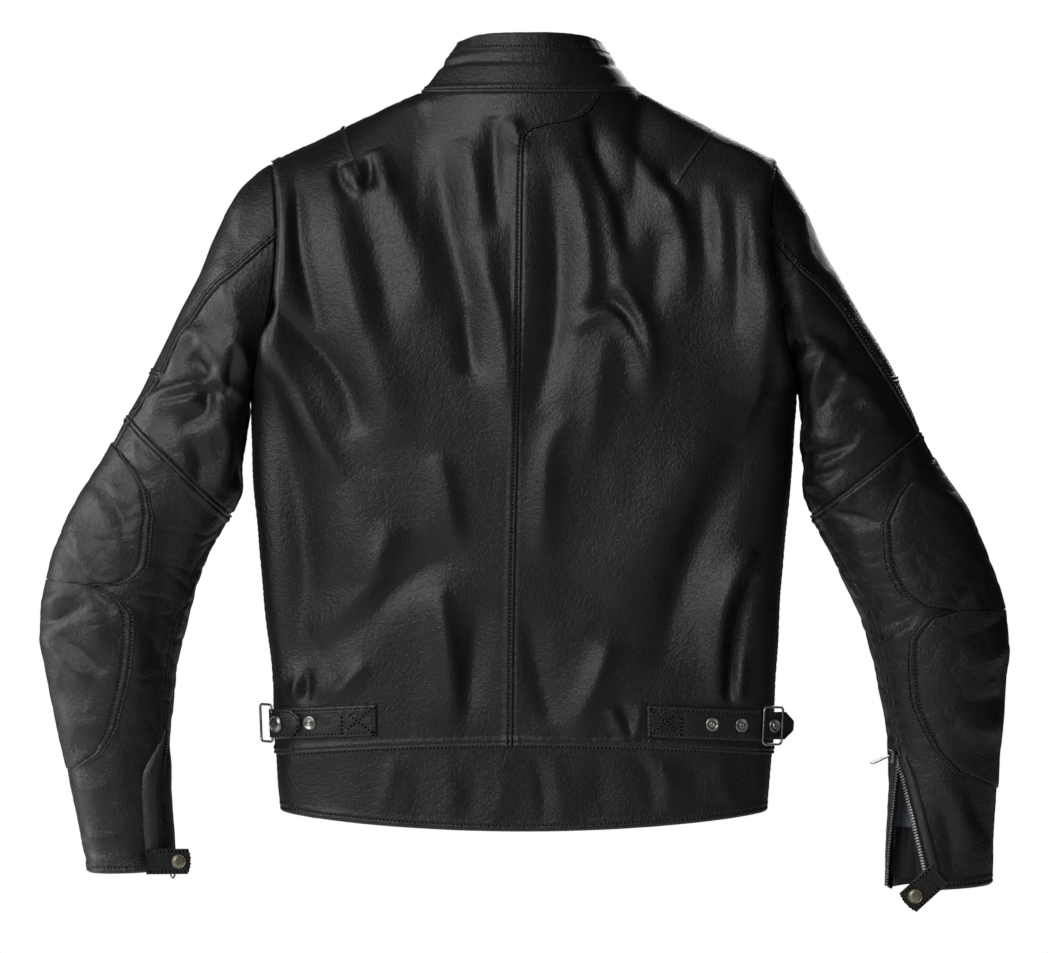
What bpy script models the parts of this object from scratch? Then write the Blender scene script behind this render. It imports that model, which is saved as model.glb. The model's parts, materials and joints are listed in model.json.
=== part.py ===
"""Leather riding jacket, hung by the loop inside its back neck.

Frame: +X is the wearer's right, +Y is forward, +Z is up, in metres. The origin is the middle of the
hanger loop. Every leather panel is a sheet cut from one of three surfaces: torso, sleeve and collar.
"""

import math

import bmesh
import bpy
import numpy as np
from mathutils import Matrix, Vector

# ---------------------------------------------------------------- driving dimensions
MID_Y = 0.0585  # plane of the side seams and the sleeves, forward of the hanger loop
LEATHER = 0.0020  # leather with its interlining
LINING = 0.0008
LINING_DEPTH = 0.0065  # lining's outer face, below the leather's outer face
PROTECTOR = 0.0070  # thickness of the armour
SEAM_GAP = 0.0008  # between two panels that are sewn edge to edge
SQUARE = 3.2  # how boxy the torso's cross-section is

ARMPIT_Z = -0.273
SHOULDER_Z = -0.069
WAIST_Z, WAIST_SIDE_DROP = -0.598, 0.010
HEM_BACK_Z, HEM_FRONT_Z, HEM_SIDE_Z = -0.674, -0.655, -0.659
SHOULDER_HALF = 0.2275
ARMPIT_HALF = 0.2475
ARMHOLE_BOW = 0.0165  # how far the armhole seam curves in towards the body
ARMHOLE_DEPTH = 0.060  # front to back, from the shoulder plane
# Half width of the torso at the side seam, as (height, half width).
SIDE = ((-0.660, 0.2205), (-0.600, 0.2258), (-0.535, 0.2280), (-0.470, 0.2315), (-0.410, 0.2365),
        (-0.350, 0.2430), (ARMPIT_Z, ARMPIT_HALF))
# How far the back stands behind the side seams, as (height, depth).
BACK = ((-0.675, 0.0550), (-0.600, 0.0560), (-0.500, 0.0620), (-0.400, 0.0730), (ARMPIT_Z, 0.0850))
FRONT_TOP, FRONT_SLOPE = 0.080, 0.030  # the front centre line is straight, so the zip's slider can run

NECK_HALF, NECK_DEPTH = 0.098, 0.075
NECK_BACK_Z, NECK_SIDE_Z, NECK_FRONT_DROP = -0.011, -0.005, 0.060
NECK_SHIFT = 0.006  # the neck sits a little to the wearer's right
SHOULDER_SLOPE = (NECK_SIDE_Z - SHOULDER_Z) / (SHOULDER_HALF - NECK_HALF)
COLLAR_TOP_HALF, COLLAR_TOP_DEPTH, COLLAR_HEIGHT = 0.066, 0.062, 0.051
COLLAR_SIDE_DROP = 0.008
COLLAR_OPEN_DEG = 176.0  # the collar's ends, from the back centre
COLLAR_THICK = 0.0030

# Sleeve sections from armhole to cuff: outer edge x, z; inner edge x, z; half depth; centre's y.
# x counts outwards from the jacket's middle. The two sleeves lie a little differently.
ARMHOLE_ROW = (SHOULDER_HALF, SHOULDER_Z, ARMPIT_HALF, ARMPIT_Z, ARMHOLE_DEPTH, 0.0)
SLEEVE = {
    "left": (
        ARMHOLE_ROW,
        (0.2448, -0.0819, 0.2520, -0.2867, 0.0630, 0.000),
        (0.2680, -0.1092, 0.2530, -0.3060, 0.0650, 0.000),
        (0.3003, -0.1820, 0.2536, -0.3420, 0.0620, 0.001),
        (0.3385, -0.2575, 0.2566, -0.3731, 0.0580, 0.002),
        (0.3749, -0.3276, 0.2748, -0.4022, 0.0550, 0.003),
        (0.4168, -0.3986, 0.2912, -0.4377, 0.0545, 0.004),
        (0.4391, -0.4778, 0.3039, -0.4823, 0.0540, 0.005),
        (0.4313, -0.5487, 0.3176, -0.5415, 0.0500, 0.007),
        (0.4150, -0.6252, 0.3231, -0.6234, 0.0430, 0.009),
        (0.3977, -0.7162, 0.3162, -0.7125, 0.0370, 0.010),
    ),
    "right": (
        ARMHOLE_ROW,
        (0.2380, -0.0850, 0.2535, -0.2885, 0.0625, 0.000),
        (0.2530, -0.1092, 0.2540, -0.3060, 0.0640, 0.000),
        (0.2925, -0.1838, 0.2540, -0.3410, 0.0620, 0.001),
        (0.3358, -0.2594, 0.2552, -0.3690, 0.0580, 0.002),
        (0.3670, -0.3276, 0.2640, -0.3970, 0.0550, 0.003),
        (0.4086, -0.3986, 0.2830, -0.4330, 0.0545, 0.004),
        (0.4377, -0.4778, 0.3039, -0.4778, 0.0540, 0.005),
        (0.4382, -0.5506, 0.3240, -0.5506, 0.0500, 0.007),
        (0.4323, -0.6188, 0.3325, -0.6060, 0.0430, 0.009),
        (0.4259, -0.7271, 0.3322, -0.7316, 0.0370, 0.010),
    ),
}
ELBOW_ROW = 6.75  # where the sleeve flexes, counted in the rows above
CUFF_ROW = 10.0
OUT = {"left": -1.0, "right": 1.0}

# ---------------------------------------------------------------- curves and surfaces


def smooth(rows, t):
    """Catmull-Rom curve through the rows, at t counted in rows. Returns one array row for each t."""
    p = np.asarray(rows, float)
    t = np.clip(np.asarray(t, float), 0, len(p) - 1)
    i = np.minimum(t.astype(int), len(p) - 2)
    f = (t - i)[..., None]
    before = np.where((i > 0)[..., None], p[i - 1], 2 * p[i] - p[i + 1])
    last = np.minimum(i + 2, len(p) - 1)
    after = np.where((i < len(p) - 2)[..., None], p[last], 2 * p[i + 1] - p[i])
    a, b = p[i], p[i + 1]
    return 0.5 * (2 * a + (b - before) * f + (2 * before - 5 * a + 4 * b - after) * f**2
                  + (3 * a - before - 3 * b + after) * f**3)


def along(table, z):
    """A width or depth from a table of (height, value), smoothly."""
    heights = [row[0] for row in table]
    t = np.interp(z, heights, range(len(heights)))
    return smooth([row[1:] for row in table], t)[..., 0]


def step(x, low, high):
    t = np.clip((x - low) / (high - low), 0, 1)
    return t * t * (3 - 2 * t)


def section(a):
    """Boxy half section: a from -1 (left side seam) to 1 (right) gives (across, outwards), both 0 to 1."""
    sine, cosine = np.sin(a * math.pi / 2), np.cos(a * math.pi / 2)
    size = (np.abs(sine) ** SQUARE + np.abs(cosine) ** SQUARE) ** (-1 / SQUARE)
    return sine * size, cosine * size


def section_at(across):
    """The a at which the half section is that far across."""
    a = np.linspace(-1, 1, 801)
    return np.interp(across, section(a)[0], a)


def torso(face, a, v):
    """Leather surface of the back (face -1) or front (face 1).
    v runs -1 hem, 0 waist seam, 1 armpit, 2 shoulder and neck seam; a runs from side to side.
    Above the armpit v goes evenly round the armhole's ring, so it bunches up at both ends."""
    a, v = np.broadcast_arrays(np.asarray(a, float), np.asarray(v, float))
    across, outwards = section(a)
    waist = WAIST_Z - WAIST_SIDE_DROP * across**2
    hem_middle = HEM_BACK_Z if face < 0 else HEM_FRONT_Z
    hem = hem_middle + (HEM_SIDE_Z - hem_middle) * across**2
    low = np.clip(v, -1, 1)
    z = np.where(low < 0, waist + (waist - hem) * low, waist + (ARMPIT_Z - waist) * low)
    waist_side = WAIST_Z - WAIST_SIDE_DROP
    z_side = np.where(low < 0, waist_side + (waist_side - HEM_SIDE_Z) * low,
                      waist_side + (ARMPIT_Z - waist_side) * low)
    half = along(SIDE, z_side)
    front_depth = FRONT_TOP + FRONT_SLOPE * (z - NECK_SIDE_Z + NECK_FRONT_DROP)
    depth = along(BACK, z) if face < 0 else front_depth
    x, y = across * half, depth * outwards

    t = (1 - np.cos(math.pi * np.clip(v - 1, 0, 1))) / 2
    half = SHOULDER_HALF + (ARMPIT_HALF - SHOULDER_HALF) * (1 - t) - ARMHOLE_BOW * 4 * t * (1 - t)
    top_x = across * SHOULDER_HALF
    neck = np.sqrt(np.clip(1 - (top_x / NECK_HALF) ** 2, 0, 1))
    drop = (NECK_SIDE_Z - NECK_BACK_Z) * neck if face < 0 else NECK_FRONT_DROP * neck**1.5
    top_z = NECK_SIDE_Z - drop - SHOULDER_SLOPE * np.clip(np.abs(top_x) - NECK_HALF, 0, None)
    neck_depth = NECK_DEPTH if face < 0 else FRONT_TOP
    top_y = neck_depth * neck
    ridge = step(np.abs(top_x), 0.06, 0.14)
    power = 2.2 if face < 0 else 1.0
    easing = (1 - ridge) * (1 - t ** (power + 1.2 * ridge)) + ridge * (1 - t**2.4) ** (1 / 2.2)
    low_y = (along(BACK, ARMPIT_Z + 0 * t) if face < 0 else
             FRONT_TOP + FRONT_SLOPE * (ARMPIT_Z - NECK_SIDE_Z + NECK_FRONT_DROP)) * outwards
    armhole = ARMHOLE_DEPTH * 2 * np.sqrt(np.clip(t * (1 - t), 0, 1)) * np.abs(across) ** 6
    high = v > 1
    shift = NECK_SHIFT * (1 - across**2) * t**3 * (1 if face < 0 else 1 - step(neck, 0.5, 1.0))
    x = np.where(high, across * half + shift, x)
    y = np.where(high, top_y + (low_y - top_y) * easing + armhole, y)
    z = np.where(high, ARMPIT_Z + (top_z - ARMPIT_Z) * t, z)
    return np.stack([x, MID_Y + face * y, z], -1)


def sleeve(side, row, angle):
    """Leather surface of a sleeve. angle 0 is its outer edge, pi/2 its front, pi its inner edge."""
    row, angle = np.broadcast_arrays(np.asarray(row, float), np.asarray(angle, float))
    ox, oz, ix, iz, depth, y = np.moveaxis(smooth(SLEEVE[side], row), -1, 0)
    c, s = np.cos(angle), np.sin(angle)
    bow = ARMHOLE_BOW * np.clip(1 - row / 3, 0, 1) ** 2 * s**2
    x = (ox + ix) / 2 + (ox - ix) / 2 * c - bow
    z = (oz + iz) / 2 + (oz - iz) / 2 * c
    return np.stack([OUT[side] * x, MID_Y + y + depth * s, z], -1)


def collar(turn, w):
    """Outer face of the collar. turn is 0 at the back centre, in radians; w is 0 at the seam, 1 on top."""
    turn, w = np.broadcast_arrays(np.asarray(turn, float), np.asarray(w, float))
    half = NECK_HALF + (COLLAR_TOP_HALF - NECK_HALF) * w**0.9
    depth = NECK_DEPTH + (COLLAR_TOP_DEPTH - NECK_DEPTH) * w
    back = np.clip(np.cos(turn), 0, 1)
    front = np.clip(-np.cos(turn), 0, 1)
    seam = NECK_SIDE_Z - (NECK_SIDE_Z - NECK_BACK_Z) * back - NECK_FRONT_DROP * front**1.5
    z = seam + (COLLAR_HEIGHT - COLLAR_SIDE_DROP * np.sin(turn) ** 4) * w
    depth = depth + (FRONT_TOP - NECK_DEPTH) * front * (1 - w)
    x = half * np.sin(turn) + NECK_SHIFT * step(np.cos(turn), -1.0, -0.5) * 0.9
    return np.stack([x, MID_Y - depth * np.cos(turn), z], -1)


def raised(surface, height):
    """The same surface moved out along its normal, or in where height is negative."""
    small = 1e-4

    def moved(a, b):
        a, b = np.asarray(a, float), np.asarray(b, float)
        da = surface(a + small, b) - surface(a - small, b)
        db = surface(a, b + small) - surface(a, b - small)
        normal = np.cross(da, db)
        normal /= np.maximum(np.linalg.norm(normal, axis=-1, keepdims=True), 1e-12)
        return surface(a, b) + normal * height

    return moved


# ---------------------------------------------------------------- Blender helpers
# Colour, roughness and metallic value of each finish.
FINISHES = {
    "black_leather": ((0.020, 0.020, 0.021), 0.42, 0.0),
    "lining_cloth": ((0.045, 0.050, 0.062), 0.80, 0.0),
    "protector_foam": ((0.10, 0.10, 0.11), 0.90, 0.0),
    "nickel": ((0.55, 0.54, 0.52), 0.30, 1.0),
    "antique_brass": ((0.30, 0.22, 0.12), 0.38, 1.0),
}


def add(name, data, finish, place=None):
    """Links a new object made of this mesh or curve, with a material of its own."""
    colour, roughness, metallic = FINISHES[finish]
    made = bpy.data.materials.new(f"{name}_{finish}")
    made.use_nodes = True
    shader = made.node_tree.nodes["Principled BSDF"]
    shader.inputs["Base Color"].default_value = (*colour, 1.0)
    shader.inputs["Roughness"].default_value = roughness
    shader.inputs["Metallic"].default_value = metallic
    made.diffuse_color = (*colour, 1.0)
    data.materials.append(made)
    obj = bpy.data.objects.new(name, data)
    JACKET.objects.link(obj)
    if place is not None:
        obj.matrix_world = place
    return obj


def hang(parent, *pieces):
    """Makes the pieces move with their parent, from where they are."""
    bpy.context.view_layer.update()
    for piece in pieces:
        piece.parent = parent
        piece.matrix_parent_inverse = parent.matrix_world.inverted()
    return parent


def pivot(name, place, *pieces):
    """An empty on a joint's axis, local X along the axis, with the pieces that turn about it."""
    empty = bpy.data.objects.new(name, None)
    JACKET.objects.link(empty)
    empty.empty_display_size = 0.03
    empty.matrix_world = place
    return hang(empty, *pieces)


def shell(name, surface, columns, rows, thickness, finish, outside=1):
    """A sheet bent over surface(column, row), then thickened inwards. outside is -1 where the
    surface's own normal points in. columns and rows are (from, to, cells); from and to may be
    functions of the row's share or of the column's share."""
    bm = bmesh.new()
    bmesh.ops.create_grid(bm, x_segments=columns[2], y_segments=rows[2], size=1.0)
    share = np.array([((v.co.x + 1) / 2, (v.co.y + 1) / 2) for v in bm.verts])
    row_ends = [end(share[:, 0]) if callable(end) else end for end in rows[:2]]
    r = row_ends[0] + (row_ends[1] - row_ends[0]) * share[:, 1]
    ends = [end(r) if callable(end) else end for end in columns[:2]]
    c = ends[0] + (ends[1] - ends[0]) * share[:, 0]
    for vert, point in zip(bm.verts, surface(c, r)):
        vert.co = point
    if outside < 0:
        bmesh.ops.reverse_faces(bm, faces=bm.faces)
    mesh = bpy.data.meshes.new(name)
    bm.to_mesh(mesh)
    bm.free()
    obj = add(name, mesh, finish)
    solidify = obj.modifiers.new("thickness", "SOLIDIFY")
    solidify.thickness = thickness
    solidify.offset = -1.0
    solidify.use_even_offset = True
    mesh.shade_smooth()
    return obj


def frame(origin, along_axis, out_axis):
    """A placing matrix: local Y along the first axis, local Z outwards, local X across."""
    y = Vector(along_axis).normalized()
    z = Vector(out_axis)
    z = (z - y * z.dot(y)).normalized()
    matrix = Matrix((y.cross(z), y, z)).transposed().to_4x4()
    matrix.translation = Vector(origin)
    return matrix


def frame_x(origin, along_axis):
    """A placing matrix with local X along the axis, for a pivot."""
    return frame(origin, along_axis, (0.3, 0.2, 1)) @ Matrix.Rotation(math.pi / 2, 4, "Z")


def outline(name, points, thickness, place, finish):
    """A flat outline in local XY, of that thickness, centred on local Z 0."""
    curve = bpy.data.curves.new(name, "CURVE")
    curve.dimensions = "2D"
    curve.fill_mode = "BOTH"
    curve.extrude = thickness / 2
    spline = curve.splines.new("POLY")
    spline.points.add(len(points) - 1)
    for point, (x, y) in zip(spline.points, points):
        point.co = (x, y, 0, 1)
    spline.use_cyclic_u = True
    return add(name, curve, finish, place)


def wire(name, points, radius, finish, closed=False, place=None):
    """A round wire or cord through the points."""
    curve = bpy.data.curves.new(name, "CURVE")
    curve.dimensions = "3D"
    curve.bevel_depth = radius
    curve.bevel_resolution = 2
    curve.use_fill_caps = True
    spline = curve.splines.new("POLY")
    spline.points.add(len(points) - 1)
    for point, at in zip(spline.points, points):
        point.co = (*at, 1)
    spline.use_cyclic_u = closed
    return add(name, curve, finish, place)


def block(name, size, place, finish, bevel=0.0):
    """A box of that size, centred on its place, with rounded edges."""
    bm = bmesh.new()
    bmesh.ops.create_cube(bm, size=1.0, matrix=Matrix.Diagonal((*size, 1)))
    mesh = bpy.data.meshes.new(name)
    bm.to_mesh(mesh)
    bm.free()
    obj = add(name, mesh, finish, place)
    if bevel:
        rounded = obj.modifiers.new("rounded", "BEVEL")
        rounded.width = bevel
        rounded.segments = 2
    return obj


def button(name, radius, height, place, finish):
    """A domed snap cap, turned about local Z with its flat back at local Z 0."""
    dome = [(0.0, height)]
    dome += [(radius * math.sin(k * math.pi / 8), height * (0.45 + 0.55 * math.cos(k * math.pi / 8)))
             for k in range(1, 5)]
    dome += [(radius * 0.92, 0.0), (0.0, 0.0)]
    mesh = bpy.data.meshes.new(name)
    mesh.from_pydata([(x, 0, z) for x, z in dome], [(k, k + 1) for k in range(len(dome) - 1)], [])
    obj = add(name, mesh, finish, place)
    turn = obj.modifiers.new("turned", "SCREW")
    turn.steps = turn.render_steps = 16
    turn.use_merge_vertices = True
    turn.merge_threshold = 1e-5
    turn.use_smooth_shade = True
    return obj


# ---------------------------------------------------------------- torso
def panel(name, face, left, right, levels, limits, finish, cells, thickness=LEATHER, depth=0.0):
    """A panel of the torso between two columns and two levels, this deep below the leather's face."""
    low, high = limits
    surface = raised(lambda a, v: torso(face, a, np.clip(v, low, high)), face * depth)
    # The normal, column cross row, points backwards on both: outwards on the back, inwards in front.
    return shell(name, surface, (left, right, cells[0]), (*levels, cells[1]), thickness, finish,
                 outside=-face)


def side_gap(v):
    """The column at which a panel ends at its side seam and along its armhole."""
    return 1.0 - 0.0055 - 0.004 * step(v, 0.9, 1.0)


def centre_seam(v):
    """Column of the back's centre seam: straight up, then an S to the neck on the wearer's right."""
    x = -0.0100 + 0.0075 * step(v, 0.0, 1.3)
    swing = step(v, 1.66, 1.73) * 0.045 + step(v, 1.73, 1.86) * 0.026
    return section_at((x + swing) / SHOULDER_HALF)


def build_torso():
    gap = 0.75 * SEAM_GAP / SHOULDER_HALF
    top, waist = 1.9955, 0.004  # levels at which panels stop short of the shoulder and waist seams
    panel("back_panel_left", -1, lambda v: -side_gap(v), lambda v: centre_seam(v) - gap,
          (0, 2), (waist, top), "black_leather", (8, 16))
    panel("back_panel_right", -1, lambda v: centre_seam(v) + gap, side_gap,
          (0, 2), (waist, top), "black_leather", (8, 16))
    panel("waistband_back", -1, lambda v: -side_gap(v), side_gap, (-1, 0), (-1, -0.012),
          "black_leather", (16, 2))
    panel("lining_back", -1, -0.96, 0.96, (-0.5, 1.625), (-0.5, 1.625), "lining_cloth", (16, 17),
          LINING, LINING_DEPTH)
    panel("back_protector", -1, -0.60, 0.60, (0.375, 1.625), (0.375, 1.625), "protector_foam", (10, 10),
          PROTECTOR, LINING_DEPTH + LINING + 0.0020)
    opening, lining_edge = section_at(ZIP_GAP / 2 / 0.23), section_at(0.020 / 0.23)
    for side, sign in OUT.items():
        outer = (opening, side_gap) if sign > 0 else (lambda v: -side_gap(v), -opening)
        inner = (lining_edge, 0.96) if sign > 0 else (-0.96, -lining_edge)
        panel(f"front_panel_{side}", 1, *outer, (-1, 2), (-1, top), "black_leather", (12, 24))
        panel(f"lining_front_{side}", 1, *inner, (-0.5, 1.625), (-0.5, 1.625), "lining_cloth", (8, 17),
              LINING, LINING_DEPTH)


def build_collar():
    end = math.radians(COLLAR_OPEN_DEG)
    shell("collar", raised(collar, 0.0), (-end, end, 36), (0.06, 1.0, 3), COLLAR_THICK, "black_leather")


def build_loop():
    """Leather cord loop inside the back neck; its middle is the origin."""
    half, seat = 0.020, -0.0064
    points = []
    for k in range(13):
        turn = math.pi * (k / 12 - 0.5)
        points.append((half * math.sin(turn), seat * (1 - math.cos(turn)), -0.008 * (1 - math.cos(turn))))
    wire("hanger_loop", points, 0.0013, "black_leather")


# ---------------------------------------------------------------- zips
ZIP_GAP = 0.012  # between the leather edges of the front opening
TAPE_HALF, TAPE_DEPTH = 0.015, 0.0046  # tape's far edge, and its middle below the leather's face
CHAIN_HALF = 0.0030
SLIDER = (0.0085, 0.0110, 0.0026)
SLIDER_LIFT = 0.0004  # between a zip's face and its slider
PIVOT_LIFT = 0.0017  # from a slider's face up to its pull's hinge


def pull_outline(length, width):
    """A zip pull that hangs along -Y from its hinge, with a round end."""
    radius = width / 2
    arc = [(radius * math.cos(k * math.pi / 8), radius - length - radius * math.sin(k * math.pi / 8))
           for k in range(9)]
    return [(-0.0015, 0.0010), *arc[::-1], (0.0015, 0.0010)]


def slider_and_pull(name, place, pull_length, swing=0.0, ring=False):
    """A slider just above its zip, and the pull hinged on top of it. place is on the zip's face."""
    width, length, height = SLIDER
    slider = block(f"{name}_slider", SLIDER,
                   place @ Matrix.Translation((0, 0, SLIDER_LIFT + height / 2)), "nickel", 0.0006)
    hinge = place @ Matrix.Translation((0, 0, SLIDER_LIFT + height + PIVOT_LIFT))
    hinge = hinge @ Matrix.Rotation(swing, 4, "X")
    if ring:
        turns = [k * math.tau / 20 for k in range(20)]
        points = [(0.0042 * math.cos(t), (pull_length / 2) * (math.sin(t) - 1) + 0.0005, 0) for t in turns]
        pull = wire(f"{name}_pull", points, 0.0008, "nickel", True, hinge)
    else:
        pull = outline(f"{name}_pull", pull_outline(pull_length, 0.0075), 0.0012, hinge, "nickel")
    return hang(slider, pull)


def front_line(z):
    """A point on the front centre line at that height."""
    return Vector((0, MID_Y + FRONT_TOP + FRONT_SLOPE * (z - NECK_SIDE_Z + NECK_FRONT_DROP), z))


def build_front_zip():
    top, bottom = front_line(-0.078), front_line(-0.652)
    up, forward = top - bottom, Vector((0, 1, 0))
    place = frame((top + bottom) / 2, up, forward) @ Matrix.Rotation(math.pi / 2, 4, "X")
    for side, sign in OUT.items():
        # The tape lies behind the leather, and the chain stands up in the gap between its edges.
        back, face = -TAPE_DEPTH - 0.0004, -TAPE_DEPTH + 0.0004
        profile = [(0.0005, back), (TAPE_HALF, back), (TAPE_HALF, face), (CHAIN_HALF, face),
                   (CHAIN_HALF, -0.0006), (0.0005, -0.0006)]
        outline(f"front_zip_{side}", [(-sign * x, y) for x, y in profile], up.length, place, "nickel")
    slider_and_pull("front_zip", frame(front_line(-0.088), up, forward), 0.030)


def zip_on(name, surface, start, end, lift, width, thickness, back):
    """A straight zip lifted off a surface. back is True where it faces backwards.
    Returns its upper and lower end and its outward direction, on its face."""
    top, bottom = (Vector(surface(*at)) for at in (start, end))
    out = sum((Vector(raised(surface, 1.0)(*at)) - Vector(surface(*at)) for at in (start, end)), Vector())
    out = out.normalized() * (1 if (out.y < 0) == back else -1)
    top, bottom = top + out * lift, bottom + out * lift
    place = frame((top + bottom) / 2, top - bottom, out)
    block(name, (width, (top - bottom).length, thickness), place, "nickel", 0.0003)
    return top + out * thickness / 2, bottom + out * thickness / 2, out


def build_pocket_zips():
    for side, sign in OUT.items():
        top, bottom, out = zip_on(
            f"{side}_pocket_zip", lambda a, v: torso(1, a, v), (sign * section_at(0.50), 0.62),
            (sign * section_at(0.655), 0.20), 0.0030, 0.018, 0.0016, back=False)
        rest = top + (bottom - top).normalized() * 0.012
        slider_and_pull(f"{side}_pocket", frame(rest, top - bottom, out), 0.026)


# ---------------------------------------------------------------- sleeves
def table(rows):
    """A smooth function of a sleeve's row, from a table of (row, degrees)."""
    def value(row):
        t = np.interp(row, [r for r, _ in rows], range(len(rows)))
        return np.radians(smooth([(d,) for _, d in rows], t)[..., 0])
    return value


# Where the back half of a sleeve ends, as (row, degrees round the sleeve from its outer edge).
ridge_seam = table(((0, 288), (1, 285), (2, 289), (3, 313), (4, 323), (5, 340), (6, 353), (7, 359), (10, 359)))
inner_seam = table(((0, 180), (5, 181), (6, 192), (7.3, 205), (8.6, 202), (9.2, 214), (10, 219)))
# Inner edges of the elbow patches' two lobes, in the same way.
PATCHES = {
    "left": {"upper": ((5.10, 298), (5.25, 284), (5.52, 271), (6.19, 260), (6.50, 266), (6.70, 284)),
             "lower": ((6.80, 284), (7.05, 263), (7.84, 259), (8.45, 272), (8.72, 289), (8.84, 305))},
    "right": {"upper": ((5.30, 298), (5.42, 281), (5.62, 267), (6.22, 256), (6.55, 257), (6.70, 266)),
              "lower": ((6.80, 268), (7.38, 254), (8.01, 245), (8.50, 249), (8.88, 262), (9.06, 283), (9.12, 298))},
}
# The right cuff stands open: its two edges part below this row.
OPEN_ROW = 9.0
OPEN_FRONT, OPEN_BACK = math.radians(-37), math.radians(40)  # how far each edge has moved at the cuff


def parted(row, most):
    """How far an edge of the open cuff has moved from the seam at that row."""
    return most * np.clip((row - OPEN_ROW) / (CUFF_ROW - OPEN_ROW), 0, 1)


def build_sleeve(side):
    def surface(angle, row):
        return sleeve(side, row, angle)

    facing = int(-OUT[side])  # on the left sleeve the surface's own normal points out
    gap = math.radians(0.8)
    joint = 0.008  # half the gap at the elbow, in rows

    def back_start(row):
        return inner_seam(row) + gap + (parted(row, OPEN_BACK) if side == "right" else 0)

    def front_end(row):
        return inner_seam(row) - gap + (parted(row, OPEN_FRONT) if side == "right" else 0)

    spans = {"back": (back_start, lambda row: ridge_seam(row) - gap, 8),
             "front": (lambda row: ridge_seam(row) + gap - math.tau, front_end, 12)}
    arm, forearm = [], []
    for half, columns in spans.items():
        arm.append(shell(f"{side}_upper_sleeve_{half}", surface, columns, (0.26, ELBOW_ROW - joint, 12),
                         LEATHER, "black_leather", facing))
        forearm.append(shell(f"{side}_forearm_{half}", surface, columns, (ELBOW_ROW + joint, CUFF_ROW, 8),
                             LEATHER, "black_leather", facing))
    for lobe, group in (("upper", arm), ("lower", forearm)):
        outline = PATCHES[side][lobe]
        group.append(shell(f"{side}_elbow_patch_{lobe}", raised(surface, 0.0050 * facing),
                           (table(outline), math.tau - 0.06, 9), (outline[0][0], outline[-1][0], 12), 0.0012,
                           "black_leather", facing))
    inside = raised(surface, -(LEATHER + 0.0035) * facing)
    arm.append(shell(f"{side}_shoulder_protector", inside, (-0.9, 0.9, 6), (0.6, 3.0, 5), PROTECTOR,
                     "protector_foam", facing))
    forearm.append(shell(f"{side}_elbow_protector", inside, (-1.3, 0.35, 6), (ELBOW_ROW + 0.06, 8.7, 6),
                         PROTECTOR, "protector_foam", facing))

    # The shoulder turns about the top of the armhole, and the elbow about the front of the sleeve.
    top = Vector((OUT[side] * SHOULDER_HALF, MID_Y, SHOULDER_Z + 0.003))
    shoulder = pivot(f"{side}_shoulder_pivot", frame_x(top, (0, -OUT[side], 0)), *arm)
    outer, inner, front = (Vector(surface(a, ELBOW_ROW)) for a in (0.0, math.pi, math.pi / 2))
    across = (outer - inner) * OUT[side]
    crease = Vector((front.x, front.y + 0.0005, front.z))
    hang(shoulder, pivot(f"{side}_elbow_pivot", frame_x(crease, across), *forearm))


def build_cuffs():
    # Left cuff: closed, its slider down at the cuff's edge.
    seam = float(inner_seam(9.9))
    top, bottom, out = zip_on("left_cuff_zip", lambda angle, row: sleeve("left", row, angle),
                              (float(inner_seam(8.55)), 8.55), (seam, 9.93), 0.0036, 0.012, 0.0014, back=True)
    rest = bottom + (top - bottom).normalized() * 0.0065
    slider_and_pull("left_cuff", frame(rest, top - bottom, out), 0.0200, ring=True)

    # Right cuff: open, its slider parked at the top of the row along the front half's edge.
    def right(angle, row):
        return sleeve("right", row, angle)

    start, end = float(inner_seam(OPEN_ROW)), float(inner_seam(10.0) + OPEN_FRONT)
    top, bottom, out = zip_on("right_cuff_zip", right, (start, OPEN_ROW - 0.05), (end, 9.97),
                              0.0036, 0.006, 0.0014, back=True)
    rest = top + (bottom - top).normalized() * 0.007
    slider_and_pull("right_cuff", frame(rest, top - bottom, out), 0.018, swing=math.radians(-70))

    def gusset(across, row):
        near = right(inner_seam(row) + parted(row, OPEN_FRONT), row)
        far = right(inner_seam(row) + parted(row, OPEN_BACK), row)
        share = np.asarray(across)[..., None]
        sag = 0.0050 + 0.012 * np.sin(np.pi * share)
        return near + (far - near) * share + sag * np.array([0.35, 0.94, 0])
    shell("right_cuff_gusset", gusset, (0.06, 0.94, 4), (OPEN_ROW + 0.15, 9.96, 4), 0.0008, "lining_cloth")


def strap_outline(length, width, point):
    """A strap from local Y 0 to -length, with a pointed free end."""
    half = width / 2
    return [(-half, 0), (-half, -(length - point)), (0, -length), (half, -(length - point)), (half, 0)]


def build_cuff_tabs():
    # Each tab's place: hinge point, the way it points, and the way it faces.
    tabs = {
        "left": ((-0.3405, MID_Y + 0.010 - 0.0420, -0.7035), (1.0, 0.28, -0.02), (0.30, -1.0, 0)),
        "right": ((0.3745, MID_Y + 0.010 - 0.0415, -0.7150), (-0.76, 0.05, -0.70), (0, -1.0, 0)),
    }
    for side, (hinge, way, face) in tabs.items():
        place = frame(hinge, -Vector(way), face)
        tab = outline(f"{side}_cuff_tab", strap_outline(0.040, 0.023, 0.002), 0.0018, place,
                      "black_leather")
        hang(tab, button(f"{side}_cuff_snap_cap", 0.0065, 0.0026,
                         place @ Matrix.Translation((0, -0.029, 0.0013)), "antique_brass"))


# ---------------------------------------------------------------- waist adjusters and collar tab
STRAP_WIDTH, STRAP_LIFT = 0.027, 0.0040  # lift of a strap's face above the leather it lies on
# Each strap: distance from the middle and height of its sewn end and of its far end, at the ring.
STRAPS = {"left": (0.1329, -0.5742, 0.2225, -0.5788), "right": (0.1110, -0.5751, 0.2120, -0.5802)}
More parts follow.
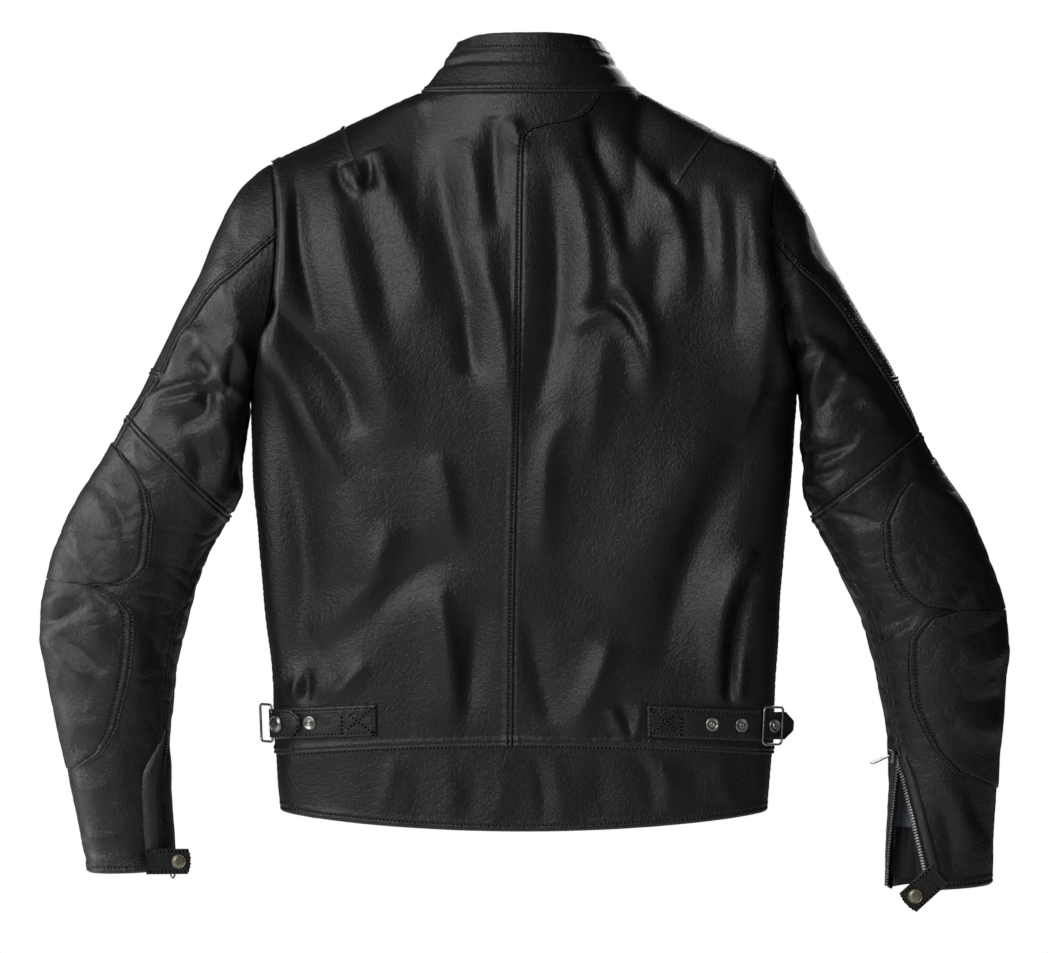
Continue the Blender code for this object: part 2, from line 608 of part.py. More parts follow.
# Snap studs on each strap, and the cap on its free end, as a distance from the middle.
STUDS = {"left": (0.1916,), "right": (0.1684, 0.1945)}
LEFT_CAP = 0.2170
RING_HALF_HEIGHT, RING_HALF_WIDTH, RING_WIRE = 0.0168, 0.0105, 0.0010


def strap_surface(side, lift):
    """Surface of a strap on the back: how far across its width, -1 to 1, and distance from the middle."""
    inner, inner_z, outer, outer_z = STRAPS[side]

    def surface(across, distance):
        middle = inner_z + (outer_z - inner_z) * (distance - inner) / (outer - inner)
        z = middle + np.asarray(across) * STRAP_WIDTH / 2
        share = np.clip(distance / along(SIDE, z), 0, 0.9995)
        waist = WAIST_Z - WAIST_SIDE_DROP * share**2
        return torso(-1, OUT[side] * section_at(share), (z - waist) / (ARMPIT_Z - waist))
    return raised(surface, -OUT[side] * lift)


def on_strap(side, distance, lift):
    """A place on a strap: local Y towards the body's side, local Z outwards."""
    surface = strap_surface(side, lift)
    behind, here = (Vector(surface(0.0, distance - d)) for d in (1e-3, 0))
    outwards = Vector(strap_surface(side, lift + 0.01)(0.0, distance)) - here
    return frame(here, here - behind, outwards)


def rounded_corners(half_width, half_height, radius):
    """A rectangle with round corners, anticlockwise."""
    points = []
    for k, (sx, sy) in enumerate(((1, 1), (-1, 1), (-1, -1), (1, -1))):
        for turn in (0, 45, 90):
            angle = math.radians(turn + 90 * k)
            points.append((sx * (half_width - radius) + radius * math.cos(angle),
                           sy * (half_height - radius) + radius * math.sin(angle)))
    return points


def build_adjusters():
    rings = {}
    for side in OUT:
        inner, _, outer, _ = STRAPS[side]
        shell(f"{side}_adjuster_strap", strap_surface(side, STRAP_LIFT), (-1.0, 1.0, 2),
              (inner, outer, 12), 0.0018, "black_leather", int(-OUT[side]))
        for count, distance in enumerate(STUDS[side], 1):
            button(f"{side}_adjuster_stud_{count}", 0.0062, 0.0016,
                   on_strap(side, distance, STRAP_LIFT + 0.0004), "nickel")
        end = on_strap(side, outer, STRAP_LIFT)
        # The ring turns about its front bar, which is its origin.
        front_bar = end @ Matrix.Translation((0, 2 * RING_HALF_WIDTH + RING_WIRE, RING_WIRE + 0.0005))
        corners = rounded_corners(RING_HALF_WIDTH, RING_HALF_HEIGHT, 0.0035)
        rings[side] = wire(f"{side}_adjuster_ring", [(z, y - RING_HALF_WIDTH, 0) for y, z in corners],
                           RING_WIRE, "nickel", True, front_bar)
    # The left strap's free end is folded back through its ring and snapped down.
    tip, root, fold = 0.1990, 0.2212, 0.2225

    def taper(distance):
        return 1 - 0.50 * np.clip((tip + 0.007 - distance) / 0.007, 0, 1)
    tab = shell("left_adjuster_tab", strap_surface("left", STRAP_LIFT + 0.0050),
                (lambda d: -0.92 * taper(d), lambda d: 0.92 * taper(d), 2), (tip, root, 8), 0.0018,
                "black_leather", 1)
    cap = button("left_adjuster_snap_cap", 0.0073, 0.0028, on_strap("left", LEFT_CAP, STRAP_LIFT + 0.0054),
                 "nickel")
    hang(rings["left"], pivot("left_adjuster_pivot", on_strap("left", fold, STRAP_LIFT + 0.0034), tab, cap))
    # The right strap's free end hangs loose behind its ring.
    end = on_strap("right", STRAPS["right"][2], STRAP_LIFT)
    place = end @ Matrix.Translation((0, 0.0020, -0.0009)) @ Matrix.Rotation(math.pi, 4, "Z")
    outline("right_adjuster_tab", strap_outline(0.0340, 0.0250, 0.009), 0.0018, place, "black_leather")


def build_collar_tab():
    """Snap tab that closes the collar across its front gap."""
    at = Vector(collar(math.radians(164), 0.45))
    place = frame((-0.024, at.y + 0.0115, at.z), (-1, 0, 0), (0, 1, 0))
    outline("collar_tab", strap_outline(0.052, 0.020, 0.008), 0.0020, place, "black_leather")


def main():
    build_torso()
    build_collar()
    build_loop()
    build_front_zip()
    build_pocket_zips()
    for side in OUT:
        build_sleeve(side)
    build_cuffs()
    build_cuff_tabs()
    build_adjusters()
    build_collar_tab()


for old in list(bpy.data.objects):
    bpy.data.objects.remove(old, do_unlink=True)
JACKET = bpy.data.collections.new("leather_riding_jacket")
bpy.context.scene.collection.children.link(JACKET)
main()
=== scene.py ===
"""Looks of the leather riding jacket: leather, cloth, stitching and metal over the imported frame.

+X is the wearer's right, +Y is forward, +Z is up, in metres; the origin is the middle of the hanger loop.
Each leather piece is cut from one of three smooth surfaces, torso, sleeve and collar, and its folds are
heights above that surface.
"""

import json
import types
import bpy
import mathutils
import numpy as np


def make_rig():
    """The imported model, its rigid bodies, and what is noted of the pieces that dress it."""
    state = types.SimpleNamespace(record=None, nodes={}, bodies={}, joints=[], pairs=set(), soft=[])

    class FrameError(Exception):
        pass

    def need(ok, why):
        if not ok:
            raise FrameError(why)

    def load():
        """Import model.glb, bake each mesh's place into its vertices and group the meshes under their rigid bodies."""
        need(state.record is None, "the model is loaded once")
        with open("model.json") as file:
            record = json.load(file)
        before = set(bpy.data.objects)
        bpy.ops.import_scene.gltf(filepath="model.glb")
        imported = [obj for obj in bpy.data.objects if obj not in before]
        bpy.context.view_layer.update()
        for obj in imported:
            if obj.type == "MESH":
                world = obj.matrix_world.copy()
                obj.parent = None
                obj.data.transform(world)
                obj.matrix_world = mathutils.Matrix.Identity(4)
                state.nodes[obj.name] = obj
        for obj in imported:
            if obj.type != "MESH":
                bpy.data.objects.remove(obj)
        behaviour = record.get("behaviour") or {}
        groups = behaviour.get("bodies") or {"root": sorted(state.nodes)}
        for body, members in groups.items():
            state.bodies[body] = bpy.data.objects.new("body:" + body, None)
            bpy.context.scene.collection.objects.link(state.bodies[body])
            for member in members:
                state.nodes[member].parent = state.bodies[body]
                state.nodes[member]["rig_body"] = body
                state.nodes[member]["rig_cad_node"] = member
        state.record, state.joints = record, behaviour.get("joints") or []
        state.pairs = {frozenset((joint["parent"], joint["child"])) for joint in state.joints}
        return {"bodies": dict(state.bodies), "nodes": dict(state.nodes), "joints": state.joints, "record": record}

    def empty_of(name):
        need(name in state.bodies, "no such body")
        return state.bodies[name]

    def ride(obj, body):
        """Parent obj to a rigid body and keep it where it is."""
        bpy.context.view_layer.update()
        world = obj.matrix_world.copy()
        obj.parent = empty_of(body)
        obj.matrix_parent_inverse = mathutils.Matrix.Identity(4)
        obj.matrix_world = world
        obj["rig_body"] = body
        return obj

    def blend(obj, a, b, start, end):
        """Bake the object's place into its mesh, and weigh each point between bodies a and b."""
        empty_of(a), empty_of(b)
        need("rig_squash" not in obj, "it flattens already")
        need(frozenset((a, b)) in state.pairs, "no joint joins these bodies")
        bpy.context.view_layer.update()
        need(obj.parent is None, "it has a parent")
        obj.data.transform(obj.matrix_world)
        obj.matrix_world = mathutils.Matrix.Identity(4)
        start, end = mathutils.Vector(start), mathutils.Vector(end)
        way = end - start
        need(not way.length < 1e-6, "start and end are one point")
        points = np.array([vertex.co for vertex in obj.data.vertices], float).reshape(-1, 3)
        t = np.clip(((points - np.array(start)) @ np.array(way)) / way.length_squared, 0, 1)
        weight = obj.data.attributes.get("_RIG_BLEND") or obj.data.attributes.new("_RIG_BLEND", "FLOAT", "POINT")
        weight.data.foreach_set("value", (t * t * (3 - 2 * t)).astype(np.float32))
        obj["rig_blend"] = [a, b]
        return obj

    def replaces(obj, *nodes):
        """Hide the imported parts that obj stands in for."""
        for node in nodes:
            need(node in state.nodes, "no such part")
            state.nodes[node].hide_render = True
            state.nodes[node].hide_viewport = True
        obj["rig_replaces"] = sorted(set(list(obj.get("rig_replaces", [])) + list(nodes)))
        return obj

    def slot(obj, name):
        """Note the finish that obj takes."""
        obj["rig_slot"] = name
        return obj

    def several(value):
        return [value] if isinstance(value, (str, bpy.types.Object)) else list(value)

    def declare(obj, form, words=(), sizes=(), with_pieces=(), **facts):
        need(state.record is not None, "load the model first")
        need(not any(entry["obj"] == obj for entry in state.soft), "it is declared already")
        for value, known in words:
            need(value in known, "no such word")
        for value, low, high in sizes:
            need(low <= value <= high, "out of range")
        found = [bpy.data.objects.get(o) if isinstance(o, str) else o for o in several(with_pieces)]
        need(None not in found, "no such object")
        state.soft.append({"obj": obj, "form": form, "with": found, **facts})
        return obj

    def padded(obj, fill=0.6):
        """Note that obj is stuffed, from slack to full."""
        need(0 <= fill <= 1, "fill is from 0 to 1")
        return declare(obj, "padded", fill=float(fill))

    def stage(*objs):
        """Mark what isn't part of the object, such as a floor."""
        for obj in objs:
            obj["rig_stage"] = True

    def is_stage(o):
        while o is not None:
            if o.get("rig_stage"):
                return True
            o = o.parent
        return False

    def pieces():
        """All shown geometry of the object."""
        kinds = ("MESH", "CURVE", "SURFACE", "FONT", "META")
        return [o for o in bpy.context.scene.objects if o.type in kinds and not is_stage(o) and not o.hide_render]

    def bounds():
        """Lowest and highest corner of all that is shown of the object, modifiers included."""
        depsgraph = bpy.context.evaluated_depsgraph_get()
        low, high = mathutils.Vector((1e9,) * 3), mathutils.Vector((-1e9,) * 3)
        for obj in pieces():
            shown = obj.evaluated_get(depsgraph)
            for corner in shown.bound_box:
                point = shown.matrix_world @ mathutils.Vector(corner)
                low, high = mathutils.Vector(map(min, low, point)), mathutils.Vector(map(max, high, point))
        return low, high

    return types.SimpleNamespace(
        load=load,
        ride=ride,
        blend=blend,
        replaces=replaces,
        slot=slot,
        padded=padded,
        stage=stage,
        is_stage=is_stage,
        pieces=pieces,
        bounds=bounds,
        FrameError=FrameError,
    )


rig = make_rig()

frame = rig.load()

import json
import math

import bpy
import numpy as np
from mathutils import Matrix, Vector

CAD_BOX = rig.bounds()

# ---------------------------------------------------------------- the jacket's own dimensions
MID_Y = 0.0585  # plane of the side seams and the sleeves
SQUARE = 3.2  # how boxy the torso's cross-section is
ARMPIT_Z, SHOULDER_Z = -0.273, -0.069
WAIST_Z, WAIST_SIDE_DROP = -0.598, 0.010
HEM_BACK_Z, HEM_FRONT_Z, HEM_SIDE_Z = -0.674, -0.655, -0.659
SHOULDER_HALF, ARMPIT_HALF = 0.2275, 0.2475
ARMHOLE_BOW, ARMHOLE_DEPTH = 0.0165, 0.060
SIDE = ((-0.660, 0.2205), (-0.600, 0.2258), (-0.535, 0.2280), (-0.470, 0.2315), (-0.410, 0.2365),
        (-0.350, 0.2430), (ARMPIT_Z, ARMPIT_HALF))
BACK = ((-0.675, 0.0550), (-0.600, 0.0560), (-0.500, 0.0620), (-0.400, 0.0730), (ARMPIT_Z, 0.0850))
FRONT_TOP, FRONT_SLOPE = 0.080, 0.030
NECK_HALF, NECK_DEPTH = 0.098, 0.075
NECK_BACK_Z, NECK_SIDE_Z, NECK_FRONT_DROP = -0.011, -0.005, 0.060
NECK_SHIFT = 0.006
SHOULDER_SLOPE = (NECK_SIDE_Z - SHOULDER_Z) / (SHOULDER_HALF - NECK_HALF)
COLLAR_TOP_HALF, COLLAR_TOP_DEPTH, COLLAR_HEIGHT = 0.066, 0.062, 0.051
COLLAR_SIDE_DROP = 0.008
COLLAR_OPEN = math.radians(176)
# Sleeve sections from armhole to cuff: outer edge x, z; inner edge x, z; half depth; centre's y.
ARMHOLE_ROW = (SHOULDER_HALF, SHOULDER_Z, ARMPIT_HALF, ARMPIT_Z, ARMHOLE_DEPTH, 0.0)
SLEEVE = {
    "left": (
        ARMHOLE_ROW,
        (0.2448, -0.0819, 0.2520, -0.2867, 0.0630, 0.000),
        (0.2680, -0.1092, 0.2530, -0.3060, 0.0650, 0.000),
        (0.3003, -0.1820, 0.2536, -0.3420, 0.0620, 0.001),
        (0.3385, -0.2575, 0.2566, -0.3731, 0.0580, 0.002),
        (0.3749, -0.3276, 0.2748, -0.4022, 0.0550, 0.003),
        (0.4168, -0.3986, 0.2912, -0.4377, 0.0545, 0.004),
        (0.4391, -0.4778, 0.3039, -0.4823, 0.0540, 0.005),
        (0.4313, -0.5487, 0.3176, -0.5415, 0.0500, 0.007),
        (0.4150, -0.6252, 0.3231, -0.6234, 0.0430, 0.009),
        (0.3977, -0.7162, 0.3162, -0.7125, 0.0370, 0.010),
    ),
    "right": (
        ARMHOLE_ROW,
        (0.2380, -0.0850, 0.2535, -0.2885, 0.0625, 0.000),
        (0.2530, -0.1092, 0.2540, -0.3060, 0.0640, 0.000),
        (0.2925, -0.1838, 0.2540, -0.3410, 0.0620, 0.001),
        (0.3358, -0.2594, 0.2552, -0.3690, 0.0580, 0.002),
        (0.3670, -0.3276, 0.2640, -0.3970, 0.0550, 0.003),
        (0.4086, -0.3986, 0.2830, -0.4330, 0.0545, 0.004),
        (0.4377, -0.4778, 0.3039, -0.4778, 0.0540, 0.005),
        (0.4382, -0.5506, 0.3240, -0.5506, 0.0500, 0.007),
        (0.4323, -0.6188, 0.3325, -0.6060, 0.0430, 0.009),
        (0.4259, -0.7271, 0.3322, -0.7316, 0.0370, 0.010),
    ),
}
OUT = {"left": -1.0, "right": 1.0}
SPLIT_ROW = {"left": 4.60, "right": 4.80}  # the seam round each sleeve above the elbow
SPLIT_LAP = 0.045  # how far the upper sleeve runs under the lower, in rows
CUFF_ROW = 10.0
TAU = math.tau


# ---------------------------------------------------------------- smooth surfaces
def smooth(rows, t):
    """Catmull-Rom curve through the rows, at t counted in rows."""
    p = np.asarray(rows, float)
    t = np.clip(np.asarray(t, float), 0, len(p) - 1)
    i = np.minimum(t.astype(int), len(p) - 2)
    f = (t - i)[..., None]
    before = np.where((i > 0)[..., None], p[i - 1], 2 * p[i] - p[i + 1])
    last = np.minimum(i + 2, len(p) - 1)
    after = np.where((i < len(p) - 2)[..., None], p[last], 2 * p[i + 1] - p[i])
    a, b = p[i], p[i + 1]
    return 0.5 * (2 * a + (b - before) * f + (2 * before - 5 * a + 4 * b - after) * f**2
                  + (3 * a - before - 3 * b + after) * f**3)


def along(table, z):
    """A width or depth from a table of (height, value), smoothly."""
    heights = [row[0] for row in table]
    return smooth([row[1:] for row in table], np.interp(z, heights, range(len(heights))))[..., 0]


def step(x, low, high):
    """0 up to low, 1 from high, smooth between."""
    t = np.clip((x - low) / (high - low), 0, 1)
    return t * t * (3 - 2 * t)


def bell(x, height, middle, width):
    return height * np.exp(-((x - middle) / width) ** 2)


def unit(vectors):
    """The same vectors with a length of 1."""
    return vectors / np.maximum(np.linalg.norm(vectors, axis=-1, keepdims=True), 1e-20)


def run_of(points, axis=0):
    """How far along its line each point is, from 0 at the first."""
    steps = np.linalg.norm(np.diff(points, axis=axis), axis=-1)
    run = np.cumsum(steps, axis)
    return np.concatenate([0 * np.take(run, [0], axis), run], axis)


def steady(value):
    """An edge that keeps to one column or angle, as a function of the row."""
    return lambda row: value + 0 * row


def section(a):
    """Boxy half section: a from -1 (left side seam) to 1 (right) gives (across, outwards), both 0 to 1."""
    sine, cosine = np.sin(a * math.pi / 2), np.cos(a * math.pi / 2)
    size = (np.abs(sine) ** SQUARE + np.abs(cosine) ** SQUARE) ** (-1 / SQUARE)
    return sine * size, cosine * size


def section_at(across):
    """The a at which the half section is that far across."""
    a = np.linspace(-1, 1, 801)
    return np.interp(across, section(a)[0], a)


# Shifts in level, counted in SOFTEN_SHIFT, and their shares.
SOFTEN = ((-3, 0.05), (-2, 0.12), (-1, 0.20), (0, 0.26), (1, 0.20), (2, 0.12), (3, 0.05))
SOFTEN_SHIFT = 0.042


def torso(face, a, v):
    """The torso, smoothed across the level of the armpits, where its two halves meet."""
    a, v = np.broadcast_arrays(np.asarray(a, float), np.asarray(v, float))
    plain = torso_plain(face, a, v)
    near = 1 - step(np.abs(v - 1), 0.16, 0.34)
    if not near.any():
        return plain
    soft = sum(weight * torso_plain(face, a, v + shift * SOFTEN_SHIFT) for shift, weight in SOFTEN)
    return plain + (soft - plain) * near[..., None]


def torso_plain(face, a, v):
    """The back (face -1) or front (face 1): v is -1 hem, 0 waist seam, 1 armpit, 2 shoulder and neck."""
    a, v = np.broadcast_arrays(np.asarray(a, float), np.asarray(v, float))
    across, outwards = section(a)
    waist = WAIST_Z - WAIST_SIDE_DROP * across**2
    hem_middle = HEM_BACK_Z if face < 0 else HEM_FRONT_Z
    hem = hem_middle + (HEM_SIDE_Z - hem_middle) * across**2
    low = np.clip(v, -1, 1)
    z = np.where(low < 0, waist + (waist - hem) * low, waist + (ARMPIT_Z - waist) * low)
    waist_side = WAIST_Z - WAIST_SIDE_DROP
    z_side = np.where(low < 0, waist_side + (waist_side - HEM_SIDE_Z) * low,
                      waist_side + (ARMPIT_Z - waist_side) * low)
    half = along(SIDE, z_side)
    front_depth = FRONT_TOP + FRONT_SLOPE * (z - NECK_SIDE_Z + NECK_FRONT_DROP)
    depth = along(BACK, z) if face < 0 else front_depth
    x, y = across * half, depth * outwards

    t = (1 - np.cos(math.pi * np.clip(v - 1, 0, 1))) / 2
    half = SHOULDER_HALF + (ARMPIT_HALF - SHOULDER_HALF) * (1 - t) - ARMHOLE_BOW * 4 * t * (1 - t)
    top_x = across * SHOULDER_HALF
    inside = 1 - (top_x / NECK_HALF) ** 2
    neck = np.sqrt((inside + np.hypot(inside, 0.06)) / 2)
    drop = (NECK_SIDE_Z - NECK_BACK_Z) * neck if face < 0 else NECK_FRONT_DROP * neck**1.5
    top_z = NECK_SIDE_Z - drop - SHOULDER_SLOPE * np.clip(np.abs(top_x) - NECK_HALF, 0, None)
    neck_depth = NECK_DEPTH if face < 0 else FRONT_TOP
    top_y = neck_depth * neck
    ridge = step(np.abs(top_x), 0.06, 0.14)
    power = 2.2 if face < 0 else 1.0
    easing = (1 - ridge) * (1 - t ** (power + 1.2 * ridge)) + ridge * (1 - t**2.4) ** (1 / 2.2)
    low_y = (along(BACK, ARMPIT_Z + 0 * t) if face < 0 else
             FRONT_TOP + FRONT_SLOPE * (ARMPIT_Z - NECK_SIDE_Z + NECK_FRONT_DROP)) * outwards
    armhole = ARMHOLE_DEPTH * 2 * np.sqrt(np.clip(t * (1 - t), 0, 1)) * np.abs(across) ** 6
    high = v > 1
    shift = NECK_SHIFT * (1 - across**2) * t**3 * (1 if face < 0 else 1 - step(neck, 0.5, 1.0))
    x = np.where(high, across * half + shift, x)
    y = np.where(high, top_y + (low_y - top_y) * easing + armhole, y)
    z = np.where(high, ARMPIT_Z + (top_z - ARMPIT_Z) * t, z)
    return np.stack([x, MID_Y + face * y, z], -1)


def sleeve(side, angle, row):
    """A sleeve: angle 0 is its outer edge, pi/2 its front, pi its inner edge, 3pi/2 its back."""
    row, angle = np.broadcast_arrays(np.asarray(row, float), np.asarray(angle, float))
    ox, oz, ix, iz, depth, y = np.moveaxis(smooth(SLEEVE[side], row), -1, 0)
    c, s = np.cos(angle), np.sin(angle)
    bow = ARMHOLE_BOW * np.clip(1 - row / 3, 0, 1) ** 2 * s**2
    x = (ox + ix) / 2 + (ox - ix) / 2 * c - bow
    z = (oz + iz) / 2 + (oz - iz) / 2 * c
    return np.stack([OUT[side] * x, MID_Y + y + depth * s, z], -1)


def collar(turn, w):
    """Outer face of the collar: turn is 0 at the back centre; w is 0 at the seam, 1 on top."""
    turn, w = np.broadcast_arrays(np.asarray(turn, float), np.asarray(w, float))
    half = NECK_HALF + (COLLAR_TOP_HALF - NECK_HALF) * np.clip(w, 0, None) ** 0.9
    depth = NECK_DEPTH + (COLLAR_TOP_DEPTH - NECK_DEPTH) * w
    back, front = np.clip(np.cos(turn), 0, 1), np.clip(-np.cos(turn), 0, 1)
    seam = NECK_SIDE_Z - (NECK_SIDE_Z - NECK_BACK_Z) * back - NECK_FRONT_DROP * front**1.5
    z = seam + (COLLAR_HEIGHT - COLLAR_SIDE_DROP * np.sin(turn) ** 4) * w
    depth = depth + (FRONT_TOP - NECK_DEPTH) * front * (1 - w)
    x = half * np.sin(turn) + NECK_SHIFT * step(np.cos(turn), -1.0, -0.5) * 0.9
    return np.stack([x, MID_Y - depth * np.cos(turn), z], -1)


# ---------------------------------------------------------------- folds
# Odd numbers that scramble a cell's place into its own repeatable random direction.
HASH_PRIMES, HASH_SEED, HASH_MIX, WORD = (73856093, 19349663, 83492791), 50331653, 1274126177, 0xFFFFFFFF


def noise(p, scale, seed=0):
    """Smooth noise of about -1 to 1, with features about this many metres across."""
    q = np.asarray(p, float) / scale
    cell = np.floor(q).astype(np.int64)
    f = q - cell
    u = f**3 * (f * (f * 6 - 15) + 10)
    total = np.zeros(q.shape[:-1])
    for corner in np.ndindex(2, 2, 2):
        c = (cell + corner) * HASH_PRIMES
        h = (c[..., 0] ^ c[..., 1] ^ c[..., 2] ^ seed * HASH_SEED) & WORD
        h = ((h ^ (h >> 13)) * HASH_MIX) & WORD
        h = h ^ (h >> 16)
        spin, up = (h & 0xFFFF) / 65536 * TAU, (h >> 16) / 32768.0 - 1
        flat = np.sqrt(np.clip(1 - up**2, 0, 1))
        g = np.stack([flat * np.cos(spin), flat * np.sin(spin), up], -1)
        weight = np.prod(np.where(np.array(corner, bool), u, 1 - u), -1)
        total += weight * (g * (f - corner)).sum(-1)
    return total * 1.7


def stroke(x, z, height, left, right, path, power=1.7):
    """A fold along a path of (x, z): a ridge, or a hollow where height is negative. left and right are
    its widths on either side, seen from behind with the path running down. It fades at its ends."""
    path = np.asarray(path, float)
    fine = smooth(path, np.linspace(0, len(path) - 1, 4 * len(path) + 1))
    reach = 2.6 * max(left, right)
    near = ((x > fine[:, 0].min() - reach) & (x < fine[:, 0].max() + reach)
            & (z > fine[:, 1].min() - reach) & (z < fine[:, 1].max() + reach))
    out = np.zeros(x.shape)
    px, pz = x[near], z[near]
    if not px.size:
        return out
    best, side, place = np.full(px.shape, 1e9), np.zeros(px.shape), np.zeros(px.shape)
    for k in range(len(fine) - 1):
        (ax, az), (bx, bz) = fine[k], fine[k + 1]
        dx, dz = bx - ax, bz - az
        t = np.clip(((px - ax) * dx + (pz - az) * dz) / (dx * dx + dz * dz), 0, 1)
        ex, ez = px - ax - t * dx, pz - az - t * dz
        d = np.hypot(ex, ez)
        closer = d < best
        best[closer] = d[closer]
        side[closer] = (dx * ez - dz * ex)[closer]
        place[closer] = ((k + t) / (len(fine) - 1))[closer]
    width = np.where(side > 0, right, left)
    fade = np.clip(4 * place * (1 - place), 0, 1) ** 0.8 * 0.92 + 0.08
    out[near] = height * fade * np.exp(-(best / width) ** power)
    return out


def fold_heights(x, z, strokes):
    total = np.zeros(x.shape)
    for height, left, right, path in strokes:
        total += stroke(x, z, height, left, right, path)
    return total


